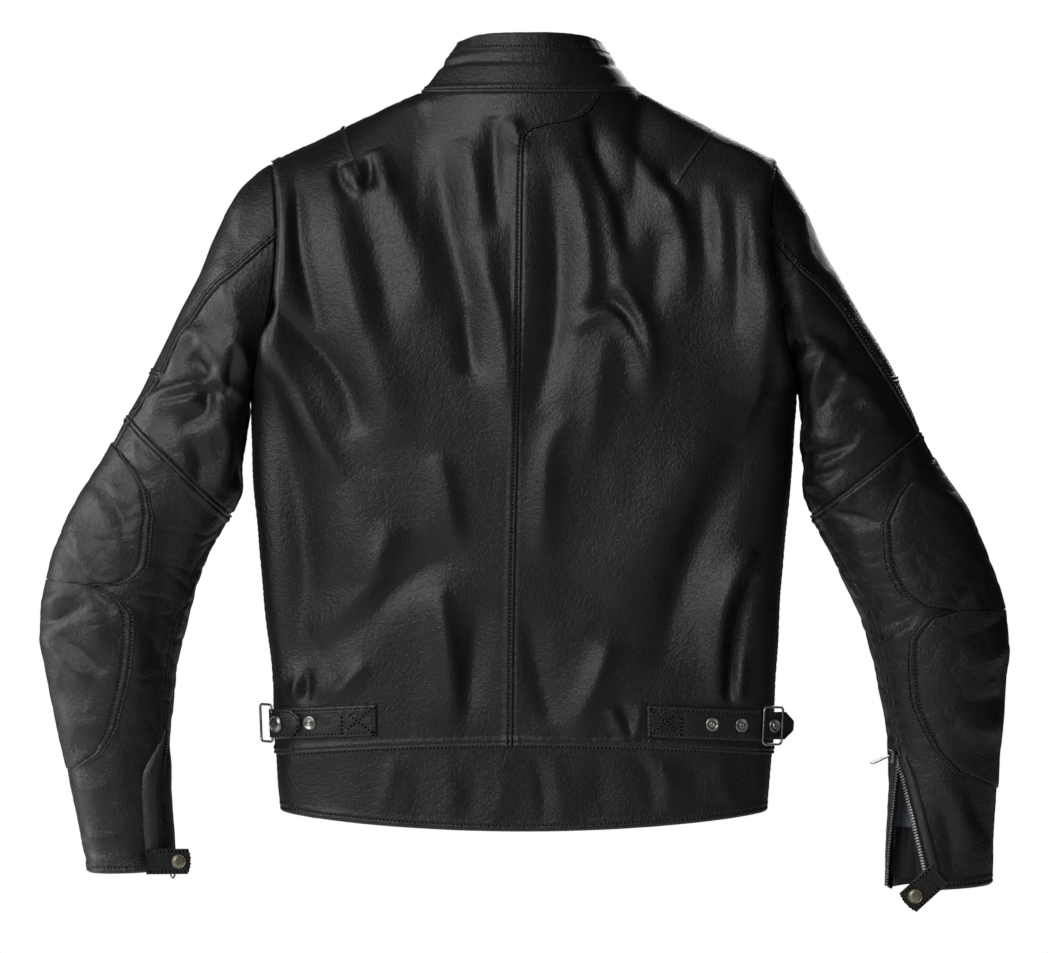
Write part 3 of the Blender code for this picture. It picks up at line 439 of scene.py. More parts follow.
# Folds of the back: height, width on its left, width on its right, path of (x, z) running down.
BACK_FOLDS = (
    (-0.0075, 0.011, 0.008, ((-0.207, -0.070), (-0.202, -0.110), (-0.198, -0.150), (-0.190, -0.195),
                             (-0.180, -0.228))),
    (0.0070, 0.018, 0.024, ((-0.183, -0.066), (-0.166, -0.120), (-0.158, -0.165), (-0.146, -0.215),
                            (-0.126, -0.275),
                            (-0.115, -0.330))),
    (-0.0035, 0.012, 0.014, ((-0.152, -0.105), (-0.137, -0.150), (-0.126, -0.195), (-0.118, -0.240))),
    (0.0045, 0.018, 0.016, ((-0.128, -0.076), (-0.113, -0.115), (-0.096, -0.160), (-0.086, -0.215))),
    (-0.0065, 0.017, 0.013, ((-0.080, -0.050), (-0.074, -0.105), (-0.064, -0.155), (-0.052, -0.205),
                             (-0.044, -0.275))),
    (0.0035, 0.016, 0.008, ((-0.053, -0.052), (-0.043, -0.095), (-0.037, -0.138))),
    (-0.0055, 0.008, 0.009, ((-0.028, -0.034), (-0.028, -0.078), (-0.023, -0.135))),
    (0.0042, 0.008, 0.006, ((-0.013, -0.034), (-0.007, -0.050), (-0.004, -0.068))),
    (0.0050, 0.013, 0.010, ((-0.036, -0.140), (-0.031, -0.180), (-0.021, -0.215), (-0.014, -0.270),
                            (-0.012, -0.350))),
    (-0.0040, 0.009, 0.008, ((-0.056, -0.205), (-0.050, -0.240), (-0.046, -0.268))),
    (-0.0080, 0.013, 0.013, ((-0.232, -0.196), (-0.206, -0.222), (-0.180, -0.248), (-0.160, -0.278),
                             (-0.148, -0.320))),
    (0.0075, 0.013, 0.010, ((-0.234, -0.222), (-0.213, -0.258), (-0.197, -0.292), (-0.181, -0.325),
                            (-0.160, -0.360))),
    (-0.0070, 0.016, 0.026, ((-0.228, -0.262), (-0.216, -0.330), (-0.203, -0.400), (-0.200, -0.465),
                             (-0.214, -0.540))),
    (0.0040, 0.010, 0.013, ((-0.243, -0.285), (-0.238, -0.350), (-0.230, -0.420), (-0.226, -0.480),
                            (-0.222, -0.545))),
    (-0.0050, 0.015, 0.017, ((-0.055, -0.420), (-0.110, -0.450), (-0.160, -0.487), (-0.208, -0.530))),
    (0.0060, 0.013, 0.015, ((-0.118, -0.395), (-0.134, -0.448), (-0.160, -0.479), (-0.192, -0.502))),
    (0.0055, 0.016, 0.009, ((-0.076, -0.455), (-0.068, -0.505), (-0.060, -0.575))),
    (-0.0040, 0.009, 0.012, ((-0.042, -0.470), (-0.047, -0.525), (-0.056, -0.580))),
    (0.0035, 0.018, 0.008, ((-0.076, -0.335), (-0.066, -0.375), (-0.060, -0.420))),
    (0.0030, 0.030, 0.034, ((-0.152, -0.350), (-0.150, -0.410), (-0.140, -0.450))),
    (0.0034, 0.009, 0.008, ((-0.140, -0.522), (-0.160, -0.543), (-0.180, -0.560))),
    (0.0026, 0.005, 0.005, ((-0.206, -0.536), (-0.207, -0.560))),
    (-0.0030, 0.006, 0.005, ((-0.196, -0.530), (-0.196, -0.562))),
    (-0.0075, 0.015, 0.012, ((0.022, -0.085), (0.029, -0.140), (0.029, -0.205), (0.022, -0.255),
                             (0.010, -0.300))),
    (0.0055, 0.013, 0.009, ((0.034, -0.060), (0.048, -0.100), (0.057, -0.145), (0.060, -0.185),
                            (0.057, -0.212))),
    (0.0045, 0.010, 0.012, ((0.057, -0.066), (0.072, -0.110), (0.083, -0.155), (0.087, -0.192))),
    (0.0055, 0.008, 0.009, ((0.080, -0.180), (0.096, -0.200), (0.109, -0.228), (0.113, -0.256),
                            (0.107, -0.286))),
    (0.0050, 0.006, 0.006, ((0.042, -0.226), (0.060, -0.215), (0.079, -0.212), (0.093, -0.227),
                            (0.102, -0.252),
                            (0.104, -0.278))),
    (-0.0050, 0.006, 0.006, ((0.055, -0.208), (0.074, -0.199), (0.090, -0.212), (0.101, -0.238))),
    (0.0032, 0.014, 0.013, ((0.077, -0.222), (0.068, -0.262), (0.061, -0.305), (0.053, -0.345))),
    (-0.0065, 0.007, 0.010, ((0.061, -0.030), (0.066, -0.064), (0.078, -0.104))),
    (0.0060, 0.017, 0.009, ((0.082, -0.046), (0.106, -0.080), (0.125, -0.107), (0.138, -0.130),
                            (0.144, -0.160),
                            (0.145, -0.200))),
    (-0.0045, 0.009, 0.008, ((0.083, -0.100), (0.089, -0.130), (0.091, -0.158))),
    (-0.0035, 0.012, 0.013, ((0.126, -0.136), (0.119, -0.170), (0.112, -0.215))),
    (-0.0025, 0.008, 0.008, ((0.158, -0.096), (0.159, -0.130), (0.163, -0.175))),
    (0.0028, 0.009, 0.010, ((0.168, -0.088), (0.175, -0.130), (0.178, -0.190))),
    (-0.0025, 0.008, 0.008, ((0.188, -0.105), (0.190, -0.165), (0.188, -0.230))),
    (0.0026, 0.009, 0.009, ((0.199, -0.100), (0.203, -0.140), (0.202, -0.180))),
    (0.0055, 0.016, 0.009, ((0.224, -0.170), (0.215, -0.228), (0.206, -0.280), (0.190, -0.330))),
    (0.0045, 0.011, 0.013, ((0.042, -0.298), (0.024, -0.328), (0.018, -0.370), (0.016, -0.436))),
    (0.0055, 0.034, 0.016, ((0.190, -0.285), (0.166, -0.330), (0.140, -0.377), (0.114, -0.420),
                            (0.076, -0.470))),
    (-0.0085, 0.018, 0.022, ((0.212, -0.285), (0.184, -0.356), (0.158, -0.412), (0.138, -0.462),
                             (0.122, -0.530))),
    (0.0070, 0.012, 0.008, ((0.206, -0.420), (0.183, -0.458), (0.174, -0.502), (0.173, -0.568))),
    (-0.0055, 0.007, 0.007, ((0.208, -0.445), (0.191, -0.500), (0.184, -0.572))),
    (0.0034, 0.005, 0.006, ((0.196, -0.512), (0.193, -0.545), (0.191, -0.580))),
    (0.0055, 0.013, 0.010, ((0.077, -0.505), (0.064, -0.543), (0.042, -0.588))),
    (0.0020, 0.004, 0.004, ((0.076, -0.562), (0.092, -0.594))),
    (0.0022, 0.004, 0.004, ((0.109, -0.556), (0.098, -0.594))),
    (-0.0020, 0.004, 0.004, ((0.086, -0.556), (0.099, -0.590))),
    (-0.0034, 0.010, 0.012, ((0.004, -0.480), (0.012, -0.530), (0.025, -0.580))),
    (0.0016, 0.008, 0.007, ((-0.150, -0.030), (-0.110, -0.020), (-0.066, -0.018))),
    (0.0022, 0.007, 0.009, ((0.165, -0.055), (0.196, -0.064), (0.226, -0.078))),
    (0.0048, 0.008, 0.009, ((-0.158, -0.076), (-0.152, -0.092), (-0.143, -0.104))),
    (0.0050, 0.007, 0.009, ((-0.134, -0.062), (-0.127, -0.086), (-0.121, -0.108))),
    (-0.0060, 0.005, 0.006, ((-0.139, -0.068), (-0.138, -0.086), (-0.142, -0.100))),
    (-0.0050, 0.006, 0.006, ((-0.167, -0.074), (-0.163, -0.094), (-0.152, -0.110))),
    (0.0034, 0.006, 0.008, ((0.128, -0.094), (0.131, -0.108), (0.136, -0.124))),
    (-0.0030, 0.006, 0.006, ((0.126, -0.078), (0.133, -0.098), (0.146, -0.110))),
)
BAND_FOLDS = (
    (0.0018, 0.010, 0.009, ((-0.214, -0.608), (-0.213, -0.655))),
    (-0.0024, 0.018, 0.014, ((-0.186, -0.612), (-0.176, -0.660))),
    (0.0020, 0.006, 0.007, ((-0.116, -0.606), (-0.120, -0.628), (-0.131, -0.664))),
    (-0.0014, 0.009, 0.009, ((-0.098, -0.610), (-0.094, -0.664))),
    (0.0015, 0.010, 0.009, ((-0.070, -0.606), (-0.064, -0.640), (-0.070, -0.668))),
    (-0.0012, 0.008, 0.006, ((-0.046, -0.612), (-0.044, -0.660))),
    (0.0015, 0.008, 0.010, ((-0.022, -0.606), (-0.020, -0.640), (-0.030, -0.672))),
    (-0.0020, 0.005, 0.006, ((0.010, -0.606), (0.016, -0.634), (0.017, -0.670))),
    (0.0018, 0.006, 0.010, ((0.020, -0.606), (0.030, -0.634), (0.034, -0.668))),
    (-0.0016, 0.010, 0.010, ((0.066, -0.606), (0.070, -0.664))),
    (-0.0022, 0.006, 0.007, ((0.098, -0.604), (0.112, -0.622), (0.116, -0.664))),
    (0.0028, 0.008, 0.008, ((0.106, -0.602), (0.128, -0.628), (0.128, -0.662))),
    (-0.0016, 0.008, 0.008, ((0.150, -0.604), (0.156, -0.660))),
    (0.0018, 0.007, 0.009, ((0.176, -0.604), (0.178, -0.630), (0.190, -0.658))),
)
FRONT_FOLDS = (
    (-0.0060, 0.013, 0.011, ((-0.206, -0.090), (-0.198, -0.150), (-0.184, -0.215), (-0.160, -0.270))),
    (0.0055, 0.018, 0.018, ((-0.176, -0.080), (-0.160, -0.150), (-0.140, -0.220), (-0.110, -0.300))),
    (-0.0040, 0.014, 0.014, ((-0.120, -0.110), (-0.106, -0.180), (-0.086, -0.250))),
    (0.0036, 0.014, 0.012, ((-0.082, -0.090), (-0.068, -0.170), (-0.056, -0.260))),
    (-0.0060, 0.018, 0.018, ((-0.232, -0.250), (-0.196, -0.330), (-0.150, -0.400), (-0.100, -0.450))),
    (0.0050, 0.014, 0.018, ((-0.226, -0.300), (-0.186, -0.380), (-0.120, -0.480), (-0.080, -0.560))),
    (-0.0055, 0.014, 0.013, ((0.206, -0.090), (0.194, -0.150), (0.176, -0.215), (0.150, -0.262))),
    (0.0060, 0.018, 0.018, ((0.172, -0.076), (0.156, -0.150), (0.130, -0.230), (0.106, -0.290))),
    (-0.0036, 0.014, 0.014, ((0.116, -0.120), (0.098, -0.190), (0.082, -0.240))),
    (0.0036, 0.013, 0.014, ((0.080, -0.100), (0.064, -0.160), (0.050, -0.250))),
    (-0.0065, 0.018, 0.018, ((0.230, -0.260), (0.200, -0.340), (0.148, -0.420), (0.090, -0.480))),
    (0.0050, 0.014, 0.018, ((0.224, -0.320), (0.178, -0.400), (0.120, -0.470), (0.070, -0.540))),
    (0.0034, 0.012, 0.012, ((-0.190, -0.500), (-0.170, -0.560), (-0.180, -0.640))),
    (-0.0030, 0.010, 0.010, ((0.150, -0.520), (0.140, -0.580), (0.150, -0.640))),
    (0.0030, 0.009, 0.010, ((0.060, -0.550), (0.048, -0.600), (0.052, -0.650))),
)
SLEEVE_FOLDS = {
    "left": (
        (-0.0030, 0.014, 0.014, ((-0.268, -0.118), (-0.262, -0.142), (-0.262, -0.170))),
        (0.0028, 0.006, 0.008, ((-0.274, -0.180), (-0.262, -0.200), (-0.252, -0.230))),
        (0.0050, 0.007, 0.008, ((-0.317, -0.262), (-0.311, -0.240), (-0.298, -0.227), (-0.284, -0.236),
                                (-0.272, -0.256))),
        (-0.0090, 0.010, 0.011, ((-0.300, -0.246), (-0.290, -0.258), (-0.280, -0.268))),
        (0.0055, 0.005, 0.006, ((-0.270, -0.262), (-0.264, -0.240), (-0.256, -0.240), (-0.251, -0.262),
                                (-0.251, -0.290))),
        (-0.0060, 0.006, 0.006, ((-0.262, -0.250), (-0.262, -0.272), (-0.270, -0.284))),
        (0.0062, 0.006, 0.005, ((-0.346, -0.288), (-0.318, -0.279), (-0.298, -0.273), (-0.284, -0.272))),
        (0.0062, 0.006, 0.005, ((-0.340, -0.296), (-0.312, -0.289), (-0.294, -0.288), (-0.287, -0.301))),
        (-0.0045, 0.004, 0.004, ((-0.330, -0.290), (-0.306, -0.284), (-0.294, -0.280))),
        (-0.0095, 0.010, 0.010, ((-0.312, -0.312), (-0.290, -0.300), (-0.284, -0.282), (-0.270, -0.278))),
        (0.0045, 0.005, 0.005, ((-0.288, -0.270), (-0.270, -0.272), (-0.256, -0.284), (-0.249, -0.305))),
        (0.0050, 0.006, 0.007, ((-0.272, -0.300), (-0.266, -0.325), (-0.272, -0.352), (-0.284, -0.378))),
        (-0.0060, 0.008, 0.008, ((-0.300, -0.318), (-0.290, -0.345), (-0.296, -0.370))),
        (-0.0050, 0.006, 0.006, ((-0.256, -0.310), (-0.254, -0.340), (-0.262, -0.366))),
        (0.0030, 0.006, 0.006, ((-0.353, -0.316), (-0.347, -0.336), (-0.338, -0.356))),
        (0.0026, 0.005, 0.005, ((-0.342, -0.328), (-0.332, -0.338), (-0.326, -0.352))),
        (0.0026, 0.006, 0.006, ((-0.376, -0.358), (-0.364, -0.374), (-0.352, -0.384))),
        (0.0032, 0.006, 0.007, ((-0.392, -0.366), (-0.379, -0.386), (-0.368, -0.410), (-0.361, -0.436))),
        (-0.0026, 0.006, 0.006, ((-0.376, -0.366), (-0.364, -0.386), (-0.356, -0.406))),
        (0.0026, 0.007, 0.007, ((-0.410, -0.396), (-0.402, -0.416), (-0.398, -0.432))),
        (-0.0048, 0.008, 0.007, ((-0.416, -0.414), (-0.400, -0.440), (-0.384, -0.462), (-0.366, -0.478))),
        (-0.0052, 0.006, 0.006, ((-0.441, -0.489), (-0.424, -0.486), (-0.404, -0.476), (-0.390, -0.474))),
        (0.0036, 0.007, 0.007, ((-0.440, -0.474), (-0.424, -0.468), (-0.408, -0.460))),
        (0.0042, 0.008, 0.008, ((-0.438, -0.498), (-0.422, -0.512), (-0.404, -0.530), (-0.388, -0.540))),
        (-0.0040, 0.008, 0.008, ((-0.420, -0.496), (-0.398, -0.514), (-0.376, -0.532))),
        (0.0034, 0.010, 0.009, ((-0.392, -0.470), (-0.384, -0.492), (-0.378, -0.512))),
        (-0.0042, 0.012, 0.012, ((-0.424, -0.544), (-0.410, -0.552), (-0.390, -0.560))),
        (0.0036, 0.012, 0.012, ((-0.420, -0.574), (-0.400, -0.584), (-0.380, -0.580))),
        (-0.0026, 0.010, 0.010, ((-0.412, -0.604), (-0.396, -0.600), (-0.380, -0.606))),
        (0.0026, 0.009, 0.009, ((-0.408, -0.630), (-0.392, -0.640), (-0.374, -0.634))),
        (-0.0032, 0.005, 0.005, ((-0.402, -0.688), (-0.388, -0.697), (-0.366, -0.692))),
        (0.0028, 0.006, 0.006, ((-0.402, -0.676), (-0.386, -0.684), (-0.366, -0.680))),
        (-0.0040, 0.012, 0.014, ((-0.316, -0.370), (-0.322, -0.430), (-0.330, -0.500), (-0.344, -0.570))),
        (0.0030, 0.010, 0.012, ((-0.350, -0.480), (-0.346, -0.530), (-0.352, -0.580))),
    ),
    "right": (
        (-0.0034, 0.014, 0.014, ((0.262, -0.120), (0.266, -0.146), (0.272, -0.172))),
        (-0.0090, 0.010, 0.010, ((0.236, -0.236), (0.262, -0.227), (0.290, -0.236))),
        (0.0050, 0.007, 0.006, ((0.238, -0.262), (0.256, -0.248), (0.272, -0.245), (0.286, -0.258))),
        (0.0050, 0.004, 0.005, ((0.273, -0.244), (0.263, -0.262), (0.255, -0.296))),
        (-0.0070, 0.008, 0.008, ((0.284, -0.262), (0.274, -0.282), (0.258, -0.302))),
        (0.0042, 0.006, 0.006, ((0.270, -0.276), (0.294, -0.270), (0.314, -0.276))),
        (-0.0050, 0.006, 0.006, ((0.274, -0.292), (0.292, -0.290), (0.304, -0.284))),
        (0.0040, 0.008, 0.008, ((0.310, -0.286), (0.318, -0.298), (0.330, -0.304))),
        (0.0050, 0.008, 0.008, ((0.246, -0.314), (0.270, -0.322), (0.300, -0.322), (0.334, -0.312))),
        (-0.0050, 0.005, 0.005, ((0.250, -0.334), (0.268, -0.336), (0.288, -0.328), (0.300, -0.320))),
        (0.0048, 0.004, 0.005, ((0.258, -0.350), (0.274, -0.346), (0.290, -0.336), (0.304, -0.328))),
        (-0.0050, 0.004, 0.005, ((0.256, -0.356), (0.272, -0.354), (0.286, -0.346))),
        (0.0050, 0.006, 0.010, ((0.252, -0.364), (0.268, -0.362), (0.282, -0.374), (0.296, -0.386))),
        (-0.0040, 0.004, 0.004, ((0.276, -0.386), (0.296, -0.392), (0.322, -0.398))),
        (0.0034, 0.012, 0.012, ((0.300, -0.402), (0.302, -0.420), (0.310, -0.450))),
        (-0.0030, 0.008, 0.008, ((0.342, -0.330), (0.340, -0.352), (0.330, -0.372))),
        (0.0030, 0.009, 0.009, ((0.360, -0.366), (0.384, -0.380), (0.400, -0.398))),
        (-0.0040, 0.009, 0.009, ((0.412, -0.436), (0.396, -0.462), (0.376, -0.482))),
        (-0.0040, 0.006, 0.006, ((0.322, -0.494), (0.338, -0.486), (0.354, -0.476))),
        (0.0032, 0.006, 0.006, ((0.324, -0.506), (0.340, -0.498), (0.356, -0.490))),
        (-0.0036, 0.008, 0.008, ((0.440, -0.480), (0.420, -0.494), (0.396, -0.502))),
        (0.0036, 0.009, 0.009, ((0.440, -0.508), (0.416, -0.520), (0.392, -0.524))),
        (-0.0040, 0.010, 0.010, ((0.436, -0.552), (0.414, -0.560), (0.390, -0.556))),
        (0.0034, 0.010, 0.010, ((0.434, -0.580), (0.412, -0.584), (0.388, -0.578))),
        (0.0032, 0.010, 0.014, ((0.372, -0.622), (0.392, -0.650), (0.402, -0.680), (0.406, -0.716))),
        (-0.0036, 0.009, 0.009, ((0.376, -0.650), (0.386, -0.690), (0.386, -0.724))),
        (-0.0030, 0.008, 0.008, ((0.400, -0.630), (0.410, -0.660), (0.424, -0.690))),
    ),
}
# Straps of the waist adjusters: distance from the middle and height of the sewn end and of the ring end.
STRAPS = {"left": (0.1329, -0.5742, 0.2225, -0.5788), "right": (0.1110, -0.5751, 0.2120, -0.5802)}
STRAP_WIDTH, STRAP_LIFT = 0.027, 0.0040


def near_straps(p):
    """1 beneath the adjuster straps, fading to 0 around them, where the leather is held flat."""
    held = np.zeros(p.shape[:-1])
    for side, (inner, inner_z, outer, outer_z) in STRAPS.items():
        x = OUT[side] * p[..., 0]
        middle = inner_z + (outer_z - inner_z) * (x - inner) / (outer - inner)
        off = np.maximum(np.abs(p[..., 2] - middle) - STRAP_WIDTH / 2, 0)
        off = np.maximum(off, np.maximum(inner - x, 0))
        held = np.maximum(held, 1 - step(off, 0.001, 0.013))
    return held


POCKET_PATH = ((0.119, -0.396), (0.149, -0.533))  # ends of a pocket's zip: distance from the middle, height


def near_pockets(p):
    """1 beneath the pockets' zips, fading to 0 around them, where the welts hold the leather flat."""
    (ax, az), (bx, bz) = POCKET_PATH
    dx, dz = bx - ax, bz - az
    x, z = np.abs(p[..., 0]) - ax, p[..., 2] - az
    t = np.clip((x * dx + z * dz) / (dx * dx + dz * dz), 0, 1)
    return 1 - step(np.hypot(x - t * dx, z - t * dz), 0.014, 0.042)


def wrinkles(p, scale, seed):
    """Soft creases: sharp-bottomed hollows that wander, about -1 to 0.4."""
    bent = p + 0.35 * scale * np.stack([noise(p, scale * 1.3, seed + 7), noise(p, scale * 1.3, seed + 8),
                                        noise(p, scale * 1.3, seed + 9)], -1)
    return 0.4 - 1.4 * (1 - np.abs(noise(bent, scale, seed))) ** 4


def torso_height(face, p, v):
    """Folds of the torso's back or front, as a height above its smooth surface."""
    x, z = p[..., 0], p[..., 2]
    band = v < 0
    deeper = 1.65 - 0.35 * step(z, -0.42, -0.25)
    large = fold_heights(x, z, BACK_FOLDS if face < 0 else FRONT_FOLDS) * deeper
    small = fold_heights(x, z, BAND_FOLDS)
    calm = 1 - near_straps(p) if face < 0 else 1 - 0.9 * near_pockets(p)
    edge = step(v, 0.0, 0.035) * (1 - step(v, 1.90, 2.0) * 0.9)
    upright = p * np.array([1.0, 1.0, 0.55])
    height = np.where(band, small, large * edge * calm)
    height = height + 0.0011 * noise(upright, 0.060, 3) * edge + 0.0005 * noise(upright, 0.024, 5)
    return height + 0.00030 * wrinkles(upright, 0.030, 11) * (0.4 + 0.6 * step(noise(p, 0.11, 17), -0.2, 0.5))


def sleeve_height(side, p, angle, row):
    """Folds of a sleeve, as a height above its smooth surface."""
    x, z = p[..., 0], p[..., 2]
    at_back = 1 - step(np.sin(angle), -0.35, 0.15)
    folds = fold_heights(x, z, SLEEVE_FOLDS[side])
    front = fold_heights(x, z + 0.012, SLEEVE_FOLDS[side]) * 0.75
    height = (folds * at_back + front * (1 - at_back)) * step(row, 0.0, 0.6)
    elbow, inner = bell(row, 1.0, 6.6, 1.5), 0.5 - 0.5 * np.cos(angle)
    height = height + 0.0012 * noise(p, 0.046, 23) + 0.0003 * noise(p, 0.018, 25)
    creases = wrinkles(p * np.array([1, 1, 1.5]), 0.026, 31)
    height = height + (0.00015 + 0.0004 * elbow + 0.0004 * inner) * creases
    return height * (1 - 0.7 * step(row, 9.75, 10.0)) * step(row, -0.1, 0.25)


def collar_height(p, turn, w):
    """The folded band round the collar and its small vertical creases."""
    upright = np.stack([turn * 0.09, 0 * turn, w * 0.02], -1)
    band = bell(w - 0.02 * noise(upright, 0.05, 41), 1.0, 0.53, 0.060)
    lip = bell(w, 1.0, 0.66, 0.05)
    creases = noise(upright * np.array([1, 1, 0.5]), 0.0075, 43)
    height = -0.0018 * band + 0.0005 * lip + 0.00045 * creases * (band + 0.35)
    return height + 0.0008 * noise(p, 0.035, 45) + 0.0003 * creases * step(w, 0.80, 1.0)


class Skin:
    """A smooth surface with its folds, looked up anywhere on it."""

    def __init__(self, surface, outward, first, second, height):
        self.surface, self.outward = surface, outward
        self.first, self.second = first, second
        a, b = np.meshgrid(first, second, indexing="ij")
        self.heights = height(surface(a, b), a, b)

    def normal(self, a, b):
        small = 1e-3
        da = self.surface(a + small, b) - self.surface(a - small, b)
        db = self.surface(a, b + small) - self.surface(a, b - small)
        return unit(np.cross(da, db) * self.outward)

    def height(self, a, b):
        i = np.clip((a - self.first[0]) / (self.first[1] - self.first[0]), 0, len(self.first) - 1.001)
        j = np.clip((b - self.second[0]) / (self.second[1] - self.second[0]), 0, len(self.second) - 1.001)
        i0, j0 = i.astype(int), j.astype(int)
        fi, fj = i - i0, j - j0
        h = self.heights
        return ((h[i0, j0] * (1 - fi) + h[i0 + 1, j0] * fi) * (1 - fj)
                + (h[i0, j0 + 1] * (1 - fi) + h[i0 + 1, j0 + 1] * fi) * fj)

    def at(self, a, b, above=0.0, share=1.0):
        """Points on the surface, this far above it, with this share of its folds."""
        a, b = np.broadcast_arrays(np.asarray(a, float), np.asarray(b, float))
        lift = self.height(a, b) * share + above
        return self.surface(a, b) + self.normal(a, b) * np.asarray(lift)[..., None]


# ---------------------------------------------------------------- materials
def nodes_of(name, roughness, metallic=0.0, specular=0.5):
    made = bpy.data.materials.new(name)
    made.use_nodes = True
    tree = made.node_tree
    shader = tree.nodes["Principled BSDF"]
    shader.inputs["Roughness"].default_value = roughness
    shader.inputs["Metallic"].default_value = metallic
    shader.inputs["Specular IOR Level"].default_value = specular
    return made, tree, shader


def texture(tree, kind, where, scale, **settings):
    node = tree.nodes.new(kind)
    node.inputs["Scale"].default_value = scale
    for key, value in settings.items():
        if key in node.inputs:
            node.inputs[key].default_value = value
        else:
            setattr(node, key, value)
    tree.links.new(where, node.inputs["Vector"])
    return node


def ramp(tree, value, low, high, at=(0.3, 0.7)):
    """Two colours or greys mixed by a value, from the first to the second of at."""
    node = tree.nodes.new("ShaderNodeValToRGB")
    for element, place, tone in zip(node.color_ramp.elements, at, (low, high)):
        element.position = place
        element.color = (*tone, 1) if isinstance(tone, tuple) else (tone, tone, tone, 1)
    tree.links.new(value, node.inputs["Fac"])
    return node.outputs["Color"]


def bumps(tree, shader, *layers):
    """Chains bump nodes: each layer is (height socket, strength, distance)."""
    last = None
    for height, strength, distance in layers:
        node = tree.nodes.new("ShaderNodeBump")
        node.inputs["Strength"].default_value = strength
        node.inputs["Distance"].default_value = distance
        tree.links.new(height, node.inputs["Height"])
        if last is not None:
            tree.links.new(last.outputs["Normal"], node.inputs["Normal"])
        last = node
    tree.links.new(last.outputs["Normal"], shader.inputs["Normal"])


def place_of(tree, stretch=(1, 1, 1)):
    """Position on the piece in metres, stretched."""
    where = tree.nodes.new("ShaderNodeTexCoord").outputs["Object"]
    mapping = tree.nodes.new("ShaderNodeMapping")
    mapping.inputs["Scale"].default_value = stretch
    tree.links.new(where, mapping.inputs["Vector"])
    return mapping.outputs["Vector"]


def mixed(tree, kind, a, b, factor, blend="MIX"):
    """Mixes two colours; a and b are sockets or tones."""
    node = tree.nodes.new("ShaderNodeMix")
    node.data_type, node.blend_type = "RGBA", blend
    for socket, value in ((node.inputs[6], a), (node.inputs[7], b), (node.inputs[0], factor)):
        if isinstance(value, bpy.types.NodeSocket):
            tree.links.new(value, socket)
        elif isinstance(value, tuple):
            socket.default_value = (*value, 1)
        else:
            socket.default_value = value
    node.label = kind
    return node.outputs[2]


def leather(name, dark=(0.0022, 0.0022, 0.0024), light=(0.0058, 0.0058, 0.0059), roughness=(0.31, 0.47),
            grain=1.0, wear=True):
    """Black aniline leather: pebbled grain with painted shade between the pebbles, fine creases, patchy shine and
    greyed, polished edges.
    """
    made, tree, shader = nodes_of(name, 0.45, specular=0.42)
    where = place_of(tree)
    pebbles = texture(tree, "ShaderNodeTexVoronoi", where, 1 / 0.00125, feature="SMOOTH_F1", Smoothness=0.55,
                      Randomness=0.95)
    pores = texture(tree, "ShaderNodeTexNoise", where, 1 / 0.00045, Detail=3.0, Roughness=0.6)
    creases = texture(tree, "ShaderNodeTexVoronoi", place_of(tree, (1.0, 1.0, 0.6)), 1 / 0.0065,
                      feature="DISTANCE_TO_EDGE", Randomness=1.0)
    patches = texture(tree, "ShaderNodeTexNoise", where, 1 / 0.045, Detail=4.0, Roughness=0.55)
    mottle = texture(tree, "ShaderNodeTexNoise", where, 1 / 0.0034, Detail=5.0, Roughness=0.62)
    crease_line = ramp(tree, creases.outputs["Distance"], 0.0, 1.0, (0.0, 0.10))
    crease_where = ramp(tree, patches.outputs["Fac"], 0.0, 1.0, (0.46, 0.60))
    crease_height = mixed(tree, "creases where the leather flexes", (1.0, 1.0, 1.0), crease_line,
                          crease_where)
    bumps(tree, shader, (crease_height, 0.16 * grain, 0.00035), (mottle.outputs["Fac"], 0.75 * grain, 0.0011),
          (pebbles.outputs["Distance"], 0.45 * grain, 0.0006), (pores.outputs["Fac"], 0.22 * grain, 0.00016))
    base = ramp(tree, patches.outputs["Fac"], dark, light, (0.35, 0.68))
    # Painted shade: the colour darkens between the pebbles of the grain, where their crevices lie in shade.
    base = mixed(tree, "darker between the pebbles", base,
                 ramp(tree, pebbles.outputs["Distance"], (1.0, 1.0, 1.0), (0.55, 0.55, 0.55), (0.35, 0.95)),
                 0.6, "MULTIPLY")
    rough = ramp(tree, mottle.outputs["Fac"], roughness[0], roughness[1], (0.32, 0.70))
    if wear:
        worn = tree.nodes.new("ShaderNodeAttribute")
        worn.attribute_name = "wear"
        amount = mixed(tree, "broken wear", worn.outputs["Color"], mottle.outputs["Fac"], 0.35, "MULTIPLY")
        base = mixed(tree, "greyed edges", base, (0.020, 0.020, 0.020), amount)
        rough = mixed(tree, "polished edges", rough, (0.33, 0.33, 0.33), amount)
    tree.links.new(base, shader.inputs["Base Color"])
    tree.links.new(rough, shader.inputs["Roughness"])
    shader.inputs["Coat Weight"].default_value = 0.04
    shader.inputs["Coat Roughness"].default_value = 0.28
    shader.inputs["Sheen Weight"].default_value = 0.015
    shader.inputs["Sheen Roughness"].default_value = 0.5
    return made


